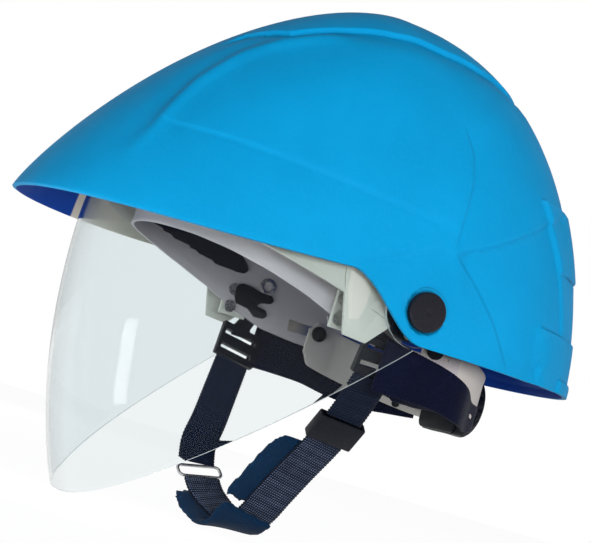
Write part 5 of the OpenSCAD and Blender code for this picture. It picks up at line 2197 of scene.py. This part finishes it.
@dataclass
class Studio:
    """The pale floor, the white surround, the lamps and the camera, in metres and degrees.

    The surround's strength falls from level to overhead. What the camera, clear plastic and, by
    the mirror share, gloss see of it is white. The target and focal length are also given in the
    photograph's pixels.
    """

    floor_drop: float = 0.0005
    floor_half: float = 4.0
    floor_tone: float = 0.86
    floor_glow: float = 1.1
    floor_share: float = 0.86
    surround: float = 0.42
    overhead: float = 0.04
    mirror_share: float = 0.3
    lamps: tuple[AreaLamp, ...] = (
        AreaLamp("key_lamp", (1.9, -0.3, 0.07), (0, 0, 0.03), (0.9, 0.4), 30),
        AreaLamp("rear_fill", (1.2, 1.5, 0.16), (0, 0, 0.03), (0.8, 0.5), 3.5),
        AreaLamp("front_fill", (0.3, -1.9, 0.12), (0, 0, 0.0), (0.6, 0.5), 5),
        AreaLamp("far_fill", (-1.7, -0.5, 0.12), (0, 0, 0.03), (0.9, 0.5), 9),
        AreaLamp(
            "glare_strip", (0.069, -0.207, -0.102), (0.057, -0.103, -0.073), (0.027, 0.069), 0.13,
            mirrored=True,
        ),
    )
    azimuth: float = 21.0
    tilt: float = -6.3
    roll: float = 16.5
    target: Triple = (0.0, -0.028, 0.020)
    distance: float = 1.0
    target_px: Pair = (270.6, 227.2)
    frame_px: Pair = (591.0, 543.0)
    focal_px: float = 1860.0
    sensor: float = 36.0

    def build(self) -> None:
        """Sets the whole studio."""
        self.build_floor()
        self.build_world()
        for lamp in self.lamps:
            lamp.build()
        self.build_camera()

    def build_floor(self) -> None:
        """Lays the floor just under the lowest point."""
        low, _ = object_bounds()
        bm = bmesh.new()
        bmesh.ops.create_grid(bm, x_segments=1, y_segments=1, size=self.floor_half)
        bmesh.ops.translate(bm, verts=bm.verts, vec=(0, 0, low.z - self.floor_drop))
        floor = linked("studio_floor", as_mesh(bm, "studio_floor"))
        g = Graph(bpy.data.materials.new("pale_floor"))
        tone = (self.floor_tone, self.floor_tone, self.floor_tone, 1)
        paint = g.node("ShaderNodeBsdfPrincipled", {"Base Color": tone, "Roughness": 0.9})
        glow = g.node("ShaderNodeEmission", {"Color": (1, 1, 1, 1), "Strength": self.floor_glow})
        share = g.sum("MULTIPLY", g.seen_rays(), self.floor_share)
        floor.data.materials.append(g.blend(share, paint, glow))
        floor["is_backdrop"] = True

    def build_world(self) -> None:
        """Lights the object softly from all round and shows white to the camera."""
        world = bpy.data.worlds.new("surround")
        bpy.context.scene.world = world
        g = Graph(world, "ShaderNodeOutputWorld")
        upward = g.node("ShaderNodeTexCoord").outputs["Generated"]
        height = g.node("ShaderNodeSeparateXYZ", {0: upward}).outputs["Z"]
        strength = g.remap(height, (0.1, self.surround), (0.9, self.overhead))
        soft = g.node("ShaderNodeBackground", {"Color": (0.93, 0.96, 1.0, 1), "Strength": strength})
        white = g.node("ShaderNodeBackground", {"Color": (1, 1, 1, 1)})
        g.blend(g.seen_rays(self.mirror_share), soft, white)

    def build_camera(self) -> None:
        """Places the camera at the photograph's viewpoint."""
        a, e, r = (math.radians(v) for v in (self.azimuth, self.tilt, self.roll))
        back = Vector((math.cos(a) * math.cos(e), -math.sin(a) * math.cos(e), math.sin(e)))
        right = Vector((math.sin(a), math.cos(a), 0))
        up = back.cross(right)
        image_x = right * math.cos(r) + up * math.sin(r)
        image_y = up * math.cos(r) - right * math.sin(r)
        data = bpy.data.cameras.new("photo_camera")
        data.sensor_width = self.sensor
        width, height = self.frame_px
        data.lens = self.focal_px * self.sensor / width
        data.shift_x = (width / 2 - self.target_px[0]) / width
        data.shift_y = -(height / 2 - self.target_px[1]) / width
        data.clip_start, data.clip_end = 0.01, 50
        camera = linked("photo_camera", data)
        turn = Matrix((image_x, image_y, back)).transposed().to_4x4()
        camera.matrix_world = Matrix.Translation(Vector(self.target) + back * self.distance) @ turn
        bpy.context.scene.camera = camera


def main() -> None:
    """Builds the helmet, sub-assembly by sub-assembly, and the studio round it."""
    logging.basicConfig(level=logging.INFO, format="%(name)s: %(message)s", stream=sys.stdout)
    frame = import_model()
    plan = HeadbandPlan()
    HelmetShell().build()
    FaceShield().build()
    Headband(plan).build(frame)
    NapeUnit(plan).build(frame)
    ChinHarness().build(frame)
    CrownCradle(plan).build(frame)
    dress_hardware(frame)
    Studio().build()
    bpy.context.scene.view_settings.view_transform = "Standard"


if __name__ == "__main__":
    main()
